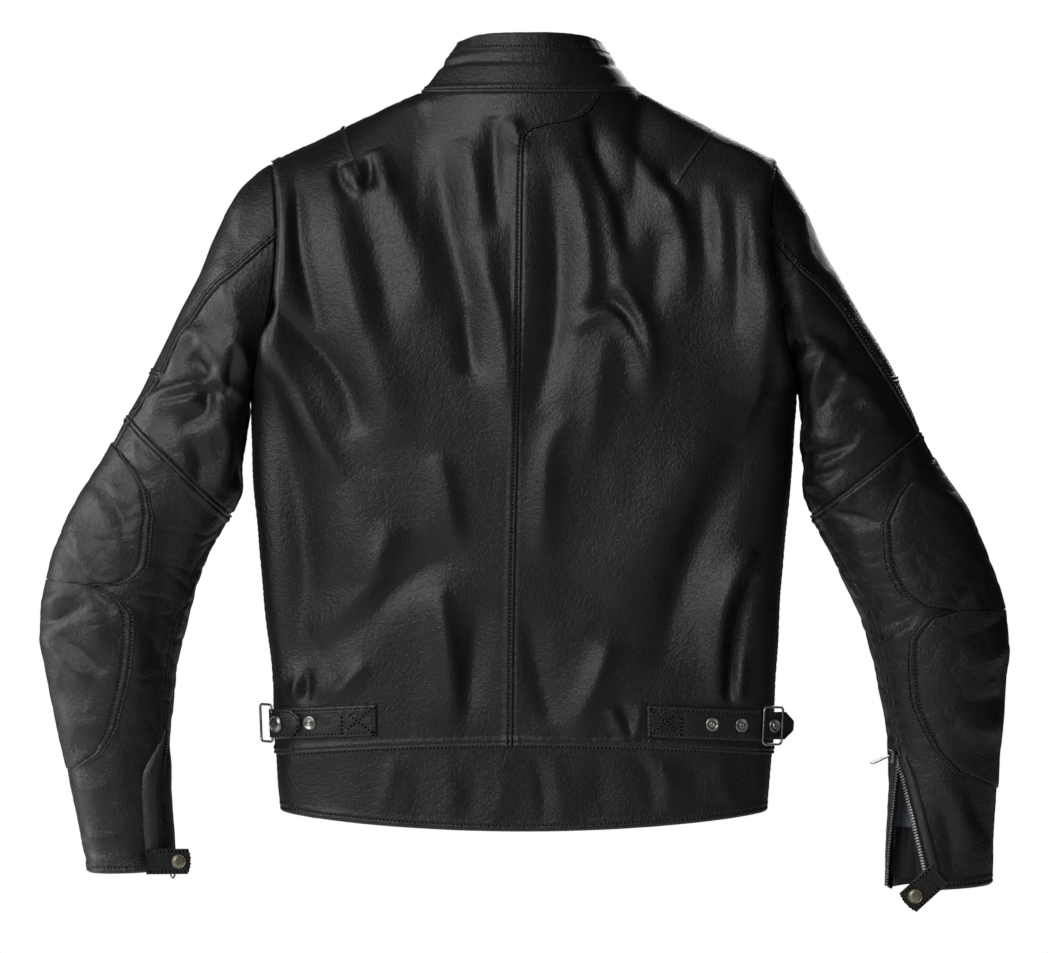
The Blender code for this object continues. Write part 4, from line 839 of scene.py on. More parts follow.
def cloth(name, dark, light, thread=0.0006, sheen=0.25, roughness=0.85, slant=0.0):
    """Woven cloth: crossed threads, or a diagonal twill where slant isn't 0, with a soft sheen."""
    made, tree, shader = nodes_of(name, roughness, specular=0.25)
    warp = texture(tree, "ShaderNodeTexWave", place_of(tree, (1, 1, slant)), 1 / thread / 6.3,
                   wave_type="BANDS", bands_direction="X", Distortion=0.6)
    weft = texture(tree, "ShaderNodeTexWave", place_of(tree, (slant, 1, 1)), 1 / thread / 6.3,
                   wave_type="BANDS", bands_direction="Z", Distortion=0.6)
    slub = texture(tree, "ShaderNodeTexNoise", place_of(tree), 1 / 0.004, Detail=4.0)
    weave = mixed(tree, "crossed threads", warp.outputs["Color"], weft.outputs["Color"], 0.5, "MULTIPLY")
    base = mixed(tree, "thread colour", dark, light, weave)
    uneven = ramp(tree, slub.outputs["Fac"], 0.7, 1.0, (0.3, 0.7))
    base = mixed(tree, "uneven dye", base, uneven, 0.7, "MULTIPLY")
    tree.links.new(base, shader.inputs["Base Color"])
    bumps(tree, shader, (slub.outputs["Fac"], 0.25, 0.0006), (weave, 0.45, 0.0002))
    shader.inputs["Sheen Weight"].default_value = sheen
    shader.inputs["Sheen Roughness"].default_value = 0.4
    return made


def foam(name):
    """Closed-cell armour foam: small round cells with painted shade in the grooves between them, and dust."""
    made, tree, shader = nodes_of(name, 0.9, specular=0.3)
    where = place_of(tree)
    cells = texture(tree, "ShaderNodeTexVoronoi", where, 1 / 0.0045, feature="DISTANCE_TO_EDGE")
    dust = texture(tree, "ShaderNodeTexNoise", where, 1 / 0.02, Detail=5.0)
    rim = ramp(tree, cells.outputs["Distance"], 0.0, 1.0, (0.02, 0.16))
    # Painted shade: darker at the cells' rims, which the bump sinks into grooves.
    base = mixed(tree, "cells", (0.020, 0.020, 0.022), (0.060, 0.060, 0.064), rim)
    base = mixed(tree, "dust", base, ramp(tree, dust.outputs["Fac"], 0.75, 1.0), 0.8, "MULTIPLY")
    tree.links.new(base, shader.inputs["Base Color"])
    bumps(tree, shader, (rim, 0.5, 0.0010))
    return made


def metal(name, bright, dull, roughness, tarnish=0.5):
    """Plated metal: fine brushing, scuffs and tarnish in patches."""
    made, tree, shader = nodes_of(name, roughness, 1.0)
    where = place_of(tree)
    patches = texture(tree, "ShaderNodeTexNoise", where, 1 / 0.004, Detail=6.0, Roughness=0.65)
    scuffs = texture(tree, "ShaderNodeTexNoise", place_of(tree, (1, 1, 9)), 1 / 0.0016, Detail=3.0)
    low = 0.5 - 0.25 * tarnish
    base = ramp(tree, patches.outputs["Fac"], dull, bright, (low, low + 0.22))
    tree.links.new(base, shader.inputs["Base Color"])
    rough = ramp(tree, scuffs.outputs["Fac"], roughness * 0.75, roughness * 1.45, (0.3, 0.7))
    tree.links.new(rough, shader.inputs["Roughness"])
    bumps(tree, shader, (scuffs.outputs["Fac"], 0.12, 0.00008), (patches.outputs["Fac"], 0.10, 0.0002))
    return made


def thread(name, tone, light, specular=0.4, sheen=0.3):
    """Twisted polyester thread."""
    made, tree, shader = nodes_of(name, 0.55, specular=specular)
    ply = texture(tree, "ShaderNodeTexWave", place_of(tree), 1 / 0.0030, bands_direction="DIAGONAL",
                  Distortion=1.5)
    tree.links.new(mixed(tree, "plies", tone, light, ply.outputs["Color"]), shader.inputs["Base Color"])
    bumps(tree, shader, (ply.outputs["Color"], 0.4, 0.0001))
    shader.inputs["Sheen Weight"].default_value = sheen
    return made


MATERIALS = {
    "leather": leather("black leather"),
    "soft_leather": leather("softer black leather of the collar and patches", roughness=(0.34, 0.50),
                            grain=1.15),
    "facing": leather("leather facing inside the zip", (0.012, 0.012, 0.013), (0.022, 0.022, 0.024),
                      wear=False),
    "lining": cloth("grey-blue twill lining", (0.016, 0.018, 0.024), (0.050, 0.056, 0.072), 0.0008,
                    slant=1.0),
    "gusset": cloth("grey-navy stretch cloth", (0.040, 0.046, 0.064), (0.150, 0.165, 0.205), 0.0009, 0.5,
                    slant=0.8),
    "satin": cloth("black satin", (0.004, 0.004, 0.006), (0.014, 0.014, 0.018), 0.0005, 0.5, 0.36),
    "tape": cloth("black woven zip tape", (0.006, 0.006, 0.007), (0.020, 0.020, 0.022), 0.0007, 0.2),
    "foam": foam("armour foam"),
    "nickel": metal("nickel plate", (0.42, 0.41, 0.39), (0.20, 0.195, 0.185), 0.28, 0.5),
    "brass": metal("antique brass", (0.30, 0.275, 0.20), (0.11, 0.095, 0.062), 0.36, 0.8),
    "teeth": metal("antique nickel zip teeth", (0.40, 0.39, 0.36), (0.13, 0.12, 0.11), 0.32, 0.8),
    # Painted shade: the nickel zip teeth again, darkened for where they sit in shadow inside the left cuff's slit.
    "dark_teeth": metal("blackened zip teeth", (0.050, 0.050, 0.052), (0.012, 0.012, 0.012), 0.40, 0.7),
    "thread": thread("black thread", (0.006, 0.006, 0.006), (0.020, 0.020, 0.020)),
    # Painted shadow: a black, unreflecting colour for the pits that stand in the needle holes.
    "hole": thread("shadow in the needle holes", (0.0003, 0.0003, 0.0003), (0.0010, 0.0010, 0.0010),
                   specular=0.0, sheen=0.0),
}
SLOTS = {"leather": "black_leather", "soft_leather": "black_leather", "facing": "black_leather",
         "lining": "lining_cloth", "gusset": "lining_cloth", "satin": "lining_cloth", "tape": "lining_cloth",
         "foam": "protector_foam", "nickel": "nickel", "teeth": "nickel", "dark_teeth": "nickel",
         "brass": "antique_brass", "thread": "black_leather"}


# ---------------------------------------------------------------- pieces
def piece(name, points, faces, finish, wear=None):
    """A new object with its mesh in place, smooth, with its material and its slot."""
    mesh = bpy.data.meshes.new(name)
    faces = faces if isinstance(faces, list) else np.asarray(faces).tolist()
    mesh.from_pydata(np.asarray(points).reshape(-1, 3).tolist(), [], faces)
    mesh.materials.append(MATERIALS[finish])
    mesh.shade_smooth()
    attribute = mesh.attributes.new("wear", "FLOAT", "POINT")
    if wear is not None:
        attribute.data.foreach_set("value", np.asarray(wear, np.float32).ravel())
    obj = bpy.data.objects.new(name, mesh)
    bpy.context.scene.collection.objects.link(obj)
    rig.slot(obj, SLOTS[finish])
    return obj


def grid_faces(rows, columns, start=0, wrap=False, flip=False):
    """Quads between the points of a grid, row by row. wrap joins its last column to its first."""
    i, j = np.meshgrid(np.arange(rows - 1), np.arange(columns if wrap else columns - 1), indexing="ij")
    k = (j + 1) % columns
    quads = np.stack([i * columns + j, i * columns + k, (i + 1) * columns + k, (i + 1) * columns + j], -1)
    quads = quads.reshape(-1, 4) + start
    return quads[:, ::-1] if flip else quads


def repeated(faces, copies):
    """The faces of one small shape, once for each of its copies, whose points are the second axis."""
    faces = np.asarray(faces)
    return (faces[None] + copies.shape[1] * np.arange(len(copies))[:, None, None]).reshape(-1, faces.shape[1])


def spread(length, coarse, fine_low, fine_high, fine=0.0008, reach=0.010):
    """Shares from 0 to 1 along a length, closer together near the ends that carry a seam."""
    def edge(is_fine):
        return np.arange(0, reach, fine) if is_fine else np.array([0.0])
    low, high = edge(fine_low), length - edge(fine_high)[::-1]
    middle = np.linspace(low[-1], high[0], max(2, int((high[0] - low[-1]) / coarse) + 2))[1:-1]
    return np.concatenate([low, middle, high]) / length


# Each kind of edge, by the distance in from it: the heights added up to a distance and gone by another,
# the depth of the pucker, then the stitching's groove and the wear, each as height, middle and width.
EDGE_SHAPES = {
    # folded over its neighbour and stitched down
    "over": (((0.0011, 0.0055, 0.0100), (-0.0020, 0.0, 0.0013)), 0.00022, (0.00085, 0.0034, 0.0010),
             (1.0, 0.0012, 0.0012)),
    # runs a little under its neighbour
    "under": (((-0.0016, 0.0012, 0.0056),), 0.00025, (0, 0, 1), (0, 0, 1)),
    # turned in at a free edge
    "hem": (((0.0006, 0.006, 0.011), (-0.0011, 0.0, 0.0016)), 0.0002, (0.00070, 0.0050, 0.0010),
            (1.1, 0.0, 0.0018)),
    "butt": (((-0.0013, 0.0, 0.0034),), 0.0002, (0, 0, 1), (0.5, 0.0030, 0.0015)),
    "free": ((), 0.0, (0, 0, 1), (0, 0, 1)),
}
PUCKER_LENGTH, PUCKER_DRIFT = 0.0068, 0.05
SIDES = ("left", "right", "low", "high")


def kinds(words):
    """The kinds of a panel's left, right, low and high edges; - is an edge with no shape of its own."""
    return {edge: None if word == "-" else word for edge, word in zip(SIDES, words.split())}


def edge_shape(kind, d, run):
    """Height of a panel this far from its edge, and how worn it is there. run is how far along the edge."""
    lifts, pucker, groove, wear = EDGE_SHAPES[kind]
    ripple = np.sin(run * TAU / PUCKER_LENGTH + 2.0 * np.sin(run * TAU / PUCKER_DRIFT))
    height = ripple * bell(d, pucker, 0.0045, 0.0035) - bell(d, *groove)
    for lift, near, far in lifts:
        height = height + lift * (1 - step(d, near, far))
    return height, bell(d, *wear)


class Panel:
    """A leather panel between two columns and two rows of a skin, with shaped edges.
    left and right are functions of the row; edges names the kind of each edge."""

    def __init__(self, skin, left, right, low, high, edges, coarse=0.0026, rows=0.0023, above=0.0, share=1.0,
                 reach=0.010, dense=None):
        middle = (low + high) / 2
        width = run_of(skin.at(np.linspace(left(middle), right(middle), 60), middle))[-1]
        length = run_of(skin.at((left(middle) + right(middle)) / 2, np.linspace(low, high, 60)))[-1]
        reach = min(reach, width / 3, length / 3)
        c = spread(width, coarse, edges.get("left"), edges.get("right"), reach=reach)
        r = spread(length, rows, edges.get("low"), edges.get("high"), reach=reach)
        levels = low + (high - low) * r
        if dense:  # more rows between two levels
            levels = np.unique(np.concatenate([levels, np.linspace(*dense)]))
        b = levels[:, None] + 0 * c[None, :]
        lo, hi = left(b[:, 0])[:, None], right(b[:, 0])[:, None]
        a = lo + (hi - lo) * c[None, :]
        p = skin.at(a, b, above, share)
        self.skin, self.edges = skin, edges
        across, up = run_of(p, 1), run_of(p, 0)
        self.distance = {"left": across, "right": across[:, -1:] - across, "low": up, "high": up[-1:] - up}
        run = {"left": up, "right": up, "low": across, "high": across}
        height, wear = np.zeros(a.shape), np.zeros(a.shape)
        for edge, kind in edges.items():
            if kind:
                h, w = edge_shape(kind, self.distance[edge], run[edge])
                height, wear = height + h, np.maximum(wear, w)
        normal = unit(np.cross(np.gradient(p, axis=1), np.gradient(p, axis=0)))
        facing = np.sign((normal * skin.normal(a, b)).sum(-1).mean())
        self.flip = facing < 0
        self.normal = normal * facing
        self.points = p + self.normal * height[..., None]
        self.a, self.b, self.wear = a, b, wear

    def build(self, name, finish="leather", turn_in=0.0018, tuck=0.009):
        """The panel's mesh. Hems turn in: round the edge, then back along the inside."""
        points, normal, wear, distance = self.points, self.normal, self.wear, self.distance
        for edge, axis, last in zip(SIDES, (1, 1, 0, 0), (False, True, False, True)):
            if self.edges.get(edge) not in ("hem", "free"):
                continue
            near = np.flip(distance[edge], axis) if last else distance[edge]
            index = int(np.searchsorted(np.median(near, axis=1 - axis), tuck))
            at_rim, inside, third = ([-1], [-1 - index], [-3]) if last else ([0], [index], [2])
            rim, n_rim, w_rim = (np.take(values, at_rim, axis) for values in (points, normal, wear))
            deep, n_deep = (np.take(values, inside, axis) for values in (points, normal))
            out = unit(rim - np.take(points, third, axis))
            extra = [rim + out * turn_in * 0.30 - n_rim * turn_in * 0.30,
                     rim + out * turn_in * 0.30 - n_rim * turn_in * 0.80, rim - n_rim * turn_in * 1.05,
                     deep - n_deep * turn_in * 1.6]
            strips, norms = [points, *extra], [normal] + [n_rim] * 4
            wears = [wear] + [w_rim] * 2 + [w_rim * 0] * 2
            if not last:
                strips, norms, wears = strips[::-1], norms[::-1], wears[::-1]
            points, normal, wear = (np.concatenate(s, axis) for s in (strips, norms, wears))
            distance = {e: np.pad(d, [(4 * (axis == k and not last), 4 * (axis == k and last))
                                      for k in (0, 1)], mode="edge") for e, d in distance.items()}
        rows, columns = points.shape[:2]
        return piece(name, points, grid_faces(rows, columns, flip=self.flip), finish, wear)

    def row_of(self, edge, inset, start=0.0, end=1.0):
        """Points and normals along a line this far in from an edge, between two shares of its length."""
        d, points, normal = self.distance[edge], self.points, self.normal
        if edge in ("low", "high"):
            d, points, normal = d.T, np.swapaxes(points, 0, 1), np.swapaxes(normal, 0, 1)
        if edge in ("right", "high"):
            d, points, normal = d[:, ::-1], points[:, ::-1], normal[:, ::-1]
        lines = np.concatenate([points, normal], -1)
        line = np.array([[np.interp(inset, near, values) for values in row.T] for near, row in zip(d, lines)])
        line = line[int(start * len(d)):max(int(end * len(d)), 2)]
        return line[:, :3], line[:, 3:]


STITCH_LENGTH, STITCH_GAP, THREAD_RADIUS, HOLE_RADIUS = 0.0022, 0.0013, 0.00042, 0.00105
HOLE_TOP, HOLE_RIM, HOLE_DEPTH = 0.00034, 0.00010, 0.0005  # from the leather's face
# A stitch along its length: share, radius and height, both as multiples of the thread's radius.
STITCH_SHAPE = ((0.0, 0.55, -0.5), (0.16, 1.0, 0.35), (0.5, 1.1, 0.6), (0.84, 1.0, 0.35), (1.0, 0.55, -0.5))
STITCH_SIDES = 6
# How far in from its panel's edge each line of stitching runs.
SEAM_STITCH, SIDE_STITCH, WAIST_STITCH, HEM_STITCH = 0.0036, 0.0034, 0.0090, 0.0050
FACING_STITCH, COLLAR_TOP_STITCH, RIDGE_STITCH, PATCH_STITCHES = 0.0320, 0.0105, 0.0045, (0.0030, 0.0100)
STRAP_STITCH, TAB_STITCH = 0.0024, 0.0022


class Stitching:
    """Collects rows of stitches, each a short tapered length of thread, and makes them one piece."""

    def __init__(self):
        self.starts, self.ends, self.ups = [], [], []

    def row(self, line):
        """Adds stitches along a line, given as its points and normals."""
        points, normals = line
        pitch = STITCH_LENGTH + STITCH_GAP
        run = run_of(points)
        count = int((run[-1] - STITCH_LENGTH) / pitch)
        if count < 1:
            return self
        at = np.arange(count) * pitch + 0.3 * pitch

        def sample(values, s):
            return np.stack([np.interp(s, run, values[:, k]) for k in range(3)], -1)
        self.starts.append(sample(points, at))
        self.ends.append(sample(points, at + STITCH_LENGTH))
        self.ups.append(unit(sample(normals, at + STITCH_LENGTH / 2)))
        return self

    def build(self, name):
        start, end, up = (np.concatenate(v) for v in (self.starts, self.ends, self.ups))
        axis, sides = end - start, STITCH_SIDES
        side = unit(np.cross(axis, up))
        turns = [(math.cos(TAU * k / sides), math.sin(TAU * k / sides)) for k in range(sides)]
        points = np.stack([start + axis * share + up * lift * THREAD_RADIUS
                           + (side * c + up * s) * THREAD_RADIUS * size
                           for share, size, lift in STITCH_SHAPE for c, s in turns], 1)
        faces = repeated(grid_faces(len(STITCH_SHAPE), sides, wrap=True), points)
        # Each stitch starts in a needle hole, shown as a small black pit that stands a little proud of the leather:
        # painted shadow.
        axis = unit(axis)
        hole = start - axis * STITCH_GAP / 2
        rim = [hole + (axis * c + side * s) * HOLE_RADIUS + up * HOLE_RIM for c, s in turns]
        hole_shadows = np.stack([hole + up * HOLE_TOP, hole - up * HOLE_DEPTH, *rim], 1)
        cap = [(0, 2 + k, 2 + (k + 1) % sides) for k in range(sides)]
        cap += [(1, 2 + (k + 1) % sides, 2 + k) for k in range(sides)]
        hole_shadow_faces = repeated(cap, hole_shadows) + points.shape[0] * points.shape[1]
        made = piece(name, np.concatenate([points.reshape(-1, 3), hole_shadows.reshape(-1, 3)]),
                     faces.tolist() + hole_shadow_faces.tolist(), "thread")
        made.data.materials.append(MATERIALS["hole"])
        made.data.polygons.foreach_set("material_index", [0] * len(faces) + [1] * len(hole_shadow_faces))
        return made


def frame_at(origin, along_axis, out_axis):
    """A placing matrix: local Y along the first axis, local Z outwards, local X across."""
    y = Vector(along_axis).normalized()
    z = Vector(out_axis)
    z = (z - y * z.dot(y)).normalized()
    matrix = Matrix((y.cross(z), y, z)).transposed().to_4x4()
    matrix.translation = Vector(origin)
    return matrix


def placed(place, points):
    m = np.array(place)
    return np.asarray(points) @ m[:3, :3].T + m[:3, 3]


ROUND_SIDES, WIRE_SIDES = 40, 12


def circle(sides):
    turns = np.arange(sides) * TAU / sides
    return np.cos(turns), np.sin(turns)


def lathe(name, profile, place, finish):
    """A turned piece: profile of (radius, height), about local Z."""
    c, s = circle(ROUND_SIDES)
    points = np.array([np.stack([r * c, r * s, z + 0 * c], -1) for r, z in profile])
    return piece(name, placed(place, points), grid_faces(len(profile), ROUND_SIDES, wrap=True), finish)


def wire_loop(name, path, radius, finish, place):
    """A closed loop of round wire through the points."""
    path = placed(place, path)
    tangent = unit(np.roll(path, -1, 0) - np.roll(path, 1, 0))
    one = unit(np.cross(tangent, np.linalg.svd(path - path.mean(0))[2][-1]))
    c, s = circle(WIRE_SIDES)
    two = np.cross(tangent, one)
    points = path[:, None] + (one[:, None] * c[:, None] + two[:, None] * s[:, None]) * radius
    points = np.concatenate([points, points[:1]])
    return piece(name, points, grid_faces(len(points), WIRE_SIDES, wrap=True, flip=True), finish)


# ---------------------------------------------------------------- torso
# The back's centre seam, as (level, distance to the wearer's right of the middle).
CENTRE_SEAM = ((0.0, -0.0102), (0.4, -0.0085), (0.9, -0.0045), (1.4, -0.0026), (1.66, -0.0034),
               (1.715, -0.0036), (1.742, -0.0018), (1.760, 0.0040), (1.774, 0.0150), (1.784, 0.0300),
               (1.797, 0.0440), (1.818, 0.0530), (1.850, 0.0590), (1.910, 0.0640), (2.0, 0.0680))


def centre_seam(v):
    """Column of the back's centre seam: straight up, then an S to the neck on the wearer's right."""
    return section_at(along(CENTRE_SEAM, v) / SHOULDER_HALF)


def torso_skin(face):
    return Skin(lambda a, v: torso(face, a, v), -face, np.linspace(-1, 1, 421), np.linspace(-1, 2, 421),
                lambda p, a, v: torso_height(face, p, v))


BACK_SKIN, FRONT_SKIN = torso_skin(-1), torso_skin(1)
SIDE_END = 0.9975
UNDERLAP = 0.0065  # how far a panel runs under its neighbour, in columns
ZIP_HALF, FRONT_HALF = 0.0058, 0.23  # half the gap between the front edges, and half the front's width


def rest_on(obj, body, *nodes):
    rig.ride(obj, body)
    if nodes:
        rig.replaces(obj, *nodes)
    return obj


PATH_MARGIN, NEAREST_POINTS, OFF_PANEL = 0.012, 6, 0.0022
ROOT_DEPTH = 0.0003  # how far a ridge's faded ends sink


def ridge(name, panels, path, profile, cells=90):
    """A sewn ridge laid on a panel along a path of (x, z): profile is its (offset, height) across,
    offsets positive on the left of the path as seen from behind. What runs off the panel is left out."""
    points, normals = (np.concatenate([getattr(panel, kind).reshape(-1, 3) for panel in panels])
                       for kind in ("points", "normal"))
    line = smooth(path, np.linspace(0, len(path) - 1, cells))
    low, high = line.min(0) - PATH_MARGIN, line.max(0) + PATH_MARGIN
    near = ((points[:, [0, 2]] > low) & (points[:, [0, 2]] < high)).all(1) & (normals[:, 1] < -0.15)
    points, normals = points[near], normals[near]
    way = unit(np.gradient(line, axis=0))
    aside = np.stack([way[:, 1], -way[:, 0]], -1)
    share = np.linspace(0, 1, cells)
    fade = step(share, 0, 0.06) * (1 - step(share, 0.86, 1))
    rows, kept = [], np.ones(cells, bool)
    for offset, height in profile:
        flat = line + aside * offset
        gap = ((flat[:, None] - points[None, :, [0, 2]]) ** 2).sum(-1)
        nearest = np.argsort(gap, axis=1)[:, :NEAREST_POINTS]
        weight = 1 / (np.take_along_axis(gap, nearest, 1) + 1e-7)
        weight /= weight.sum(1, keepdims=True)
        n, base = normals[nearest], points[nearest]
        off = flat[:, None] - base[..., [0, 2]]
        y = base[..., 1] - (off * n[..., [0, 2]]).sum(-1) / np.minimum(n[..., 1], -0.4)
        n = (n * weight[..., None]).sum(1)
        y = (weight * y).sum(1)
        lift = height * fade - ROOT_DEPTH * (1 - fade)
        rows.append(np.stack([flat[:, 0], y, flat[:, 1]], -1) + n * lift[:, None])
        kept &= gap.min(1) < OFF_PANEL**2
    rows = np.stack(rows, 1)[kept]
    wear = np.zeros(rows.shape[:2])
    wear[:, 3:6] = 0.6
    return piece(name, rows, grid_faces(*rows.shape[:2], flip=True), "leather", wear)


FOLDED_EDGE = ((0.0046, -0.0004), (0.0036, 0.0002), (0.0022, 0.0007), (0.0010, 0.0011), (0.0004, 0.0012),
               (0.0000, 0.0010), (-0.0003, 0.0004), (-0.0005, -0.0005))
CROSS_SEAM = ((0.0034, -0.0004), (0.0028, 0.0006), (0.0018, 0.0009), (0.0008, 0.0004), (0.0, 0.0001),
              (-0.0008, 0.0004), (-0.0018, 0.0009), (-0.0028, 0.0006), (-0.0034, -0.0004))
DARTS = (((-0.1640, -0.0340), (-0.1545, -0.0640), (-0.1430, -0.0935)),
         ((0.1730, -0.0420), (0.1540, -0.0690), (0.1345, -0.0985)))
ARMHOLE_SHARES = (0.66, 0.985)  # the stretch of a back panel's outer edge that is stitched
NECK_ROWS = (1.70, 1.86, 70)  # levels between which the centre seam turns, and rows there
BAND_TOP = 0.028  # how far the waistband runs up under the panels, in levels


def build_back():
    threads = Stitching()
    left = Panel(BACK_SKIN, steady(-SIDE_END), centre_seam, 0.0, 2.0, kinds("over over over under"),
                 dense=NECK_ROWS)
    right = Panel(BACK_SKIN, lambda v: centre_seam(v) - UNDERLAP, steady(SIDE_END), 0.0, 2.0,
                  kinds("under over over under"), dense=NECK_ROWS)
    for side, path in zip(("left", "right"), DARTS):
        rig.ride(ridge(f"{side}_shoulder_dart", (left, right), path, FOLDED_EDGE), "body")
    threads.row(left.row_of("right", SEAM_STITCH))
    for panel, edge in ((left, "left"), (right, "right")):
        threads.row(panel.row_of(edge, SIDE_STITCH, *ARMHOLE_SHARES))
    rest_on(left.build("back_left"), "body", "back_panel_left")
    rest_on(right.build("back_right"), "body", "back_panel_right")
    band = Panel(BACK_SKIN, steady(-SIDE_END), steady(SIDE_END), -1.0, BAND_TOP, kinds("butt butt hem under"))
    threads.row(band.row_of("high", WAIST_STITCH)).row(band.row_of("low", HEM_STITCH))
    rest_on(band.build("waistband_leather"), "body", "waistband_back")
    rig.ride(threads.build("back_stitching"), "body")


def build_front():
    threads = Stitching()
    middle = section_at(ZIP_HALF / FRONT_HALF)
    for side, out in OUT.items():
        ends = [steady(column) for column in sorted((out * SIDE_END, out * middle))]
        at_zip, panel_kinds, band_kinds = (("right", "under hem over butt", "butt hem hem under") if out < 0
                                           else ("left", "hem under over butt", "hem butt hem under"))
        panel = Panel(FRONT_SKIN, *ends, 0.0, 2.0, kinds(panel_kinds))
        band = Panel(FRONT_SKIN, *ends, -1.0, BAND_TOP, kinds(band_kinds))
        for part, edge, *run in ((panel, at_zip, HEM_STITCH, 0.0, 0.97),
                                 (panel, at_zip, FACING_STITCH, 0.0, 0.96), (band, "high", WAIST_STITCH),
                                 (band, "low", HEM_STITCH), (band, at_zip, HEM_STITCH, 0.0, 0.9)):
            threads.row(part.row_of(edge, *run))
        rest_on(panel.build(f"front_{side}"), "body", f"front_panel_{side}")
        build_pocket(side)
        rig.ride(band.build(f"front_waistband_{side}"), "body")
    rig.ride(threads.build("front_stitching"), "body")


# The ends and the middle of a pocket's zip, as share across and level; its height above the leather.
POCKET_TOP, POCKET_LOW, POCKET_MIDDLE = (0.50, 0.62), (0.655, 0.20), (0.58, 0.41)
POCKET_ZIP_LIFT, WELT_STITCH = 0.0034, (0.0098, 0.0060)
# A welt in section, from the zip outwards: distance from the zip's middle and height.
WELT = ((0.0036, 0.0022), (0.0052, 0.0056), (0.0085, 0.0060), (0.0120, 0.0052), (0.0150, 0.0030),
        (0.0165, -0.0010))
WELT_WEAR = (1.0, 0.8, 0.1, 0, 0, 0)


def build_pocket(side):
    """A pocket's zip, laid on the front, between two leather welts."""
    top, low = (np.array(FRONT_SKIN.surface(OUT[side] * section_at(x), v))
                for x, v in (POCKET_TOP, POCKET_LOW))
    n = FRONT_SKIN.normal(OUT[side] * section_at(POCKET_MIDDLE[0]), POCKET_MIDDLE[1])
    place = frame_at((top + low) / 2, top - low, n)
    length = np.linalg.norm(top - low)
    zip_row(f"{side}_pocket_teeth", place @ Matrix.Translation((0, 0, POCKET_ZIP_LIFT)), length - 0.008,
            "body", f"{side}_pocket_zip")
    count = 60
    y = np.linspace(-0.5, 0.5, count) * (length + 0.016)
    close = 1 - np.clip((np.abs(y) - length / 2 + 0.004) / 0.012, 0, 1) ** 2 * 0.75
    for turn, lip in ((1, "front"), (-1, "side")):
        points = np.array([[(turn * (x if k else x * c), v, h + 0.0004 * math.sin(v * 700 + k))
                            for k, (x, h) in enumerate(WELT)] for v, c in zip(y, close)])
        faces = grid_faces(count, len(WELT), flip=turn < 0)
        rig.ride(piece(f"{side}_pocket_welt_{lip}", placed(place, points), faces, "leather",
                      np.tile(WELT_WEAR, (count, 1))), "body")
        line = placed(place, [(turn * WELT_STITCH[0], v, WELT_STITCH[1]) for v in y[2:-2]])
        threads = Stitching().row((line, np.tile(n, (len(line), 1))))
        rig.ride(threads.build(f"{side}_pocket_stitching_{lip}"), "body")


BOX_CORNERS = np.array([(x, y, z) for x in (-0.5, 0.5) for y in (-0.5, 0.5) for z in (-0.5, 0.5)])
BOX_FACES = ((0, 1, 3, 2), (4, 6, 7, 5), (0, 4, 5, 1), (2, 3, 7, 6), (0, 2, 6, 4), (1, 5, 7, 3))


def teeth(name, corners, finish, rounding):
    """Metal teeth with rounded edges, from the corners of each tooth's box."""
    made = piece(name, corners, repeated(BOX_FACES, corners), finish)
    bevel = made.modifiers.new("rounded", "BEVEL")
    bevel.width, bevel.segments = rounding, 2
    return made


def zip_row(name, place, length, body, *nodes, pitch=0.0026, half=0.0029, tape_half=0.0075, thick=0.0011):
    """A closed zip: interlocked metal teeth on two woven tapes, along local Y."""
    count = int(length / pitch)
    k = np.arange(2 * count)
    centre = np.stack([np.where(k % 2, 1, -1) * half * 0.42, (k / 2 - count / 2) * pitch, 0 * k], -1)
    corners = BOX_CORNERS * np.array([half * 1.35, pitch * 0.62, thick * 1.5]) + centre[:, None]
    rest_on(teeth(name, placed(place, corners), "teeth", 0.00025), body, *nodes)
    y = np.linspace(-0.5, 0.5, max(int(length / 0.004), 2)) * (length + 0.006)
    xs = np.linspace(-tape_half, tape_half, 13)
    sheet = np.array([[(x, v, -0.0007 - 0.00025 * abs(math.cos(x * 900))) for x in xs] for v in y])
    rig.ride(piece(name.replace("teeth", "tape"), placed(place, sheet), grid_faces(len(y), len(xs)), "tape"),
            body)


FRONT_ZIP_TOP, FRONT_ZIP_LOW, FRONT_ZIP_DEPTH = -0.078, -0.652, 0.0022


def front_line(z):
    return Vector((0, MID_Y + FRONT_TOP + FRONT_SLOPE * (z - NECK_SIDE_Z + NECK_FRONT_DROP), z))


def build_front_zip():
    top, bottom = front_line(FRONT_ZIP_TOP), front_line(FRONT_ZIP_LOW)
    place = frame_at((top + bottom) / 2, top - bottom, (0, 1, 0))
    place = place @ Matrix.Translation((0, 0, -FRONT_ZIP_DEPTH))
    zip_row("front_zip_teeth", place, (top - bottom).length - 0.004, "body", "front_zip_left",
            "front_zip_right", pitch=0.0034, half=0.0036, tape_half=0.0135, thick=0.0016)


# ---------------------------------------------------------------- collar
COLLAR_SKIN = Skin(collar, 1, np.linspace(-COLLAR_OPEN, COLLAR_OPEN, 721), np.linspace(-0.15, 1.02, 90),
                   collar_height)
# The collar's thickness, the levels of its foot and of the start of its rolled top edge, and the roll's rise.
COLLAR_DEPTH, COLLAR_FOOT, COLLAR_EDGE, COLLAR_ROLL = 0.0050, -0.045, 0.985, 0.0030


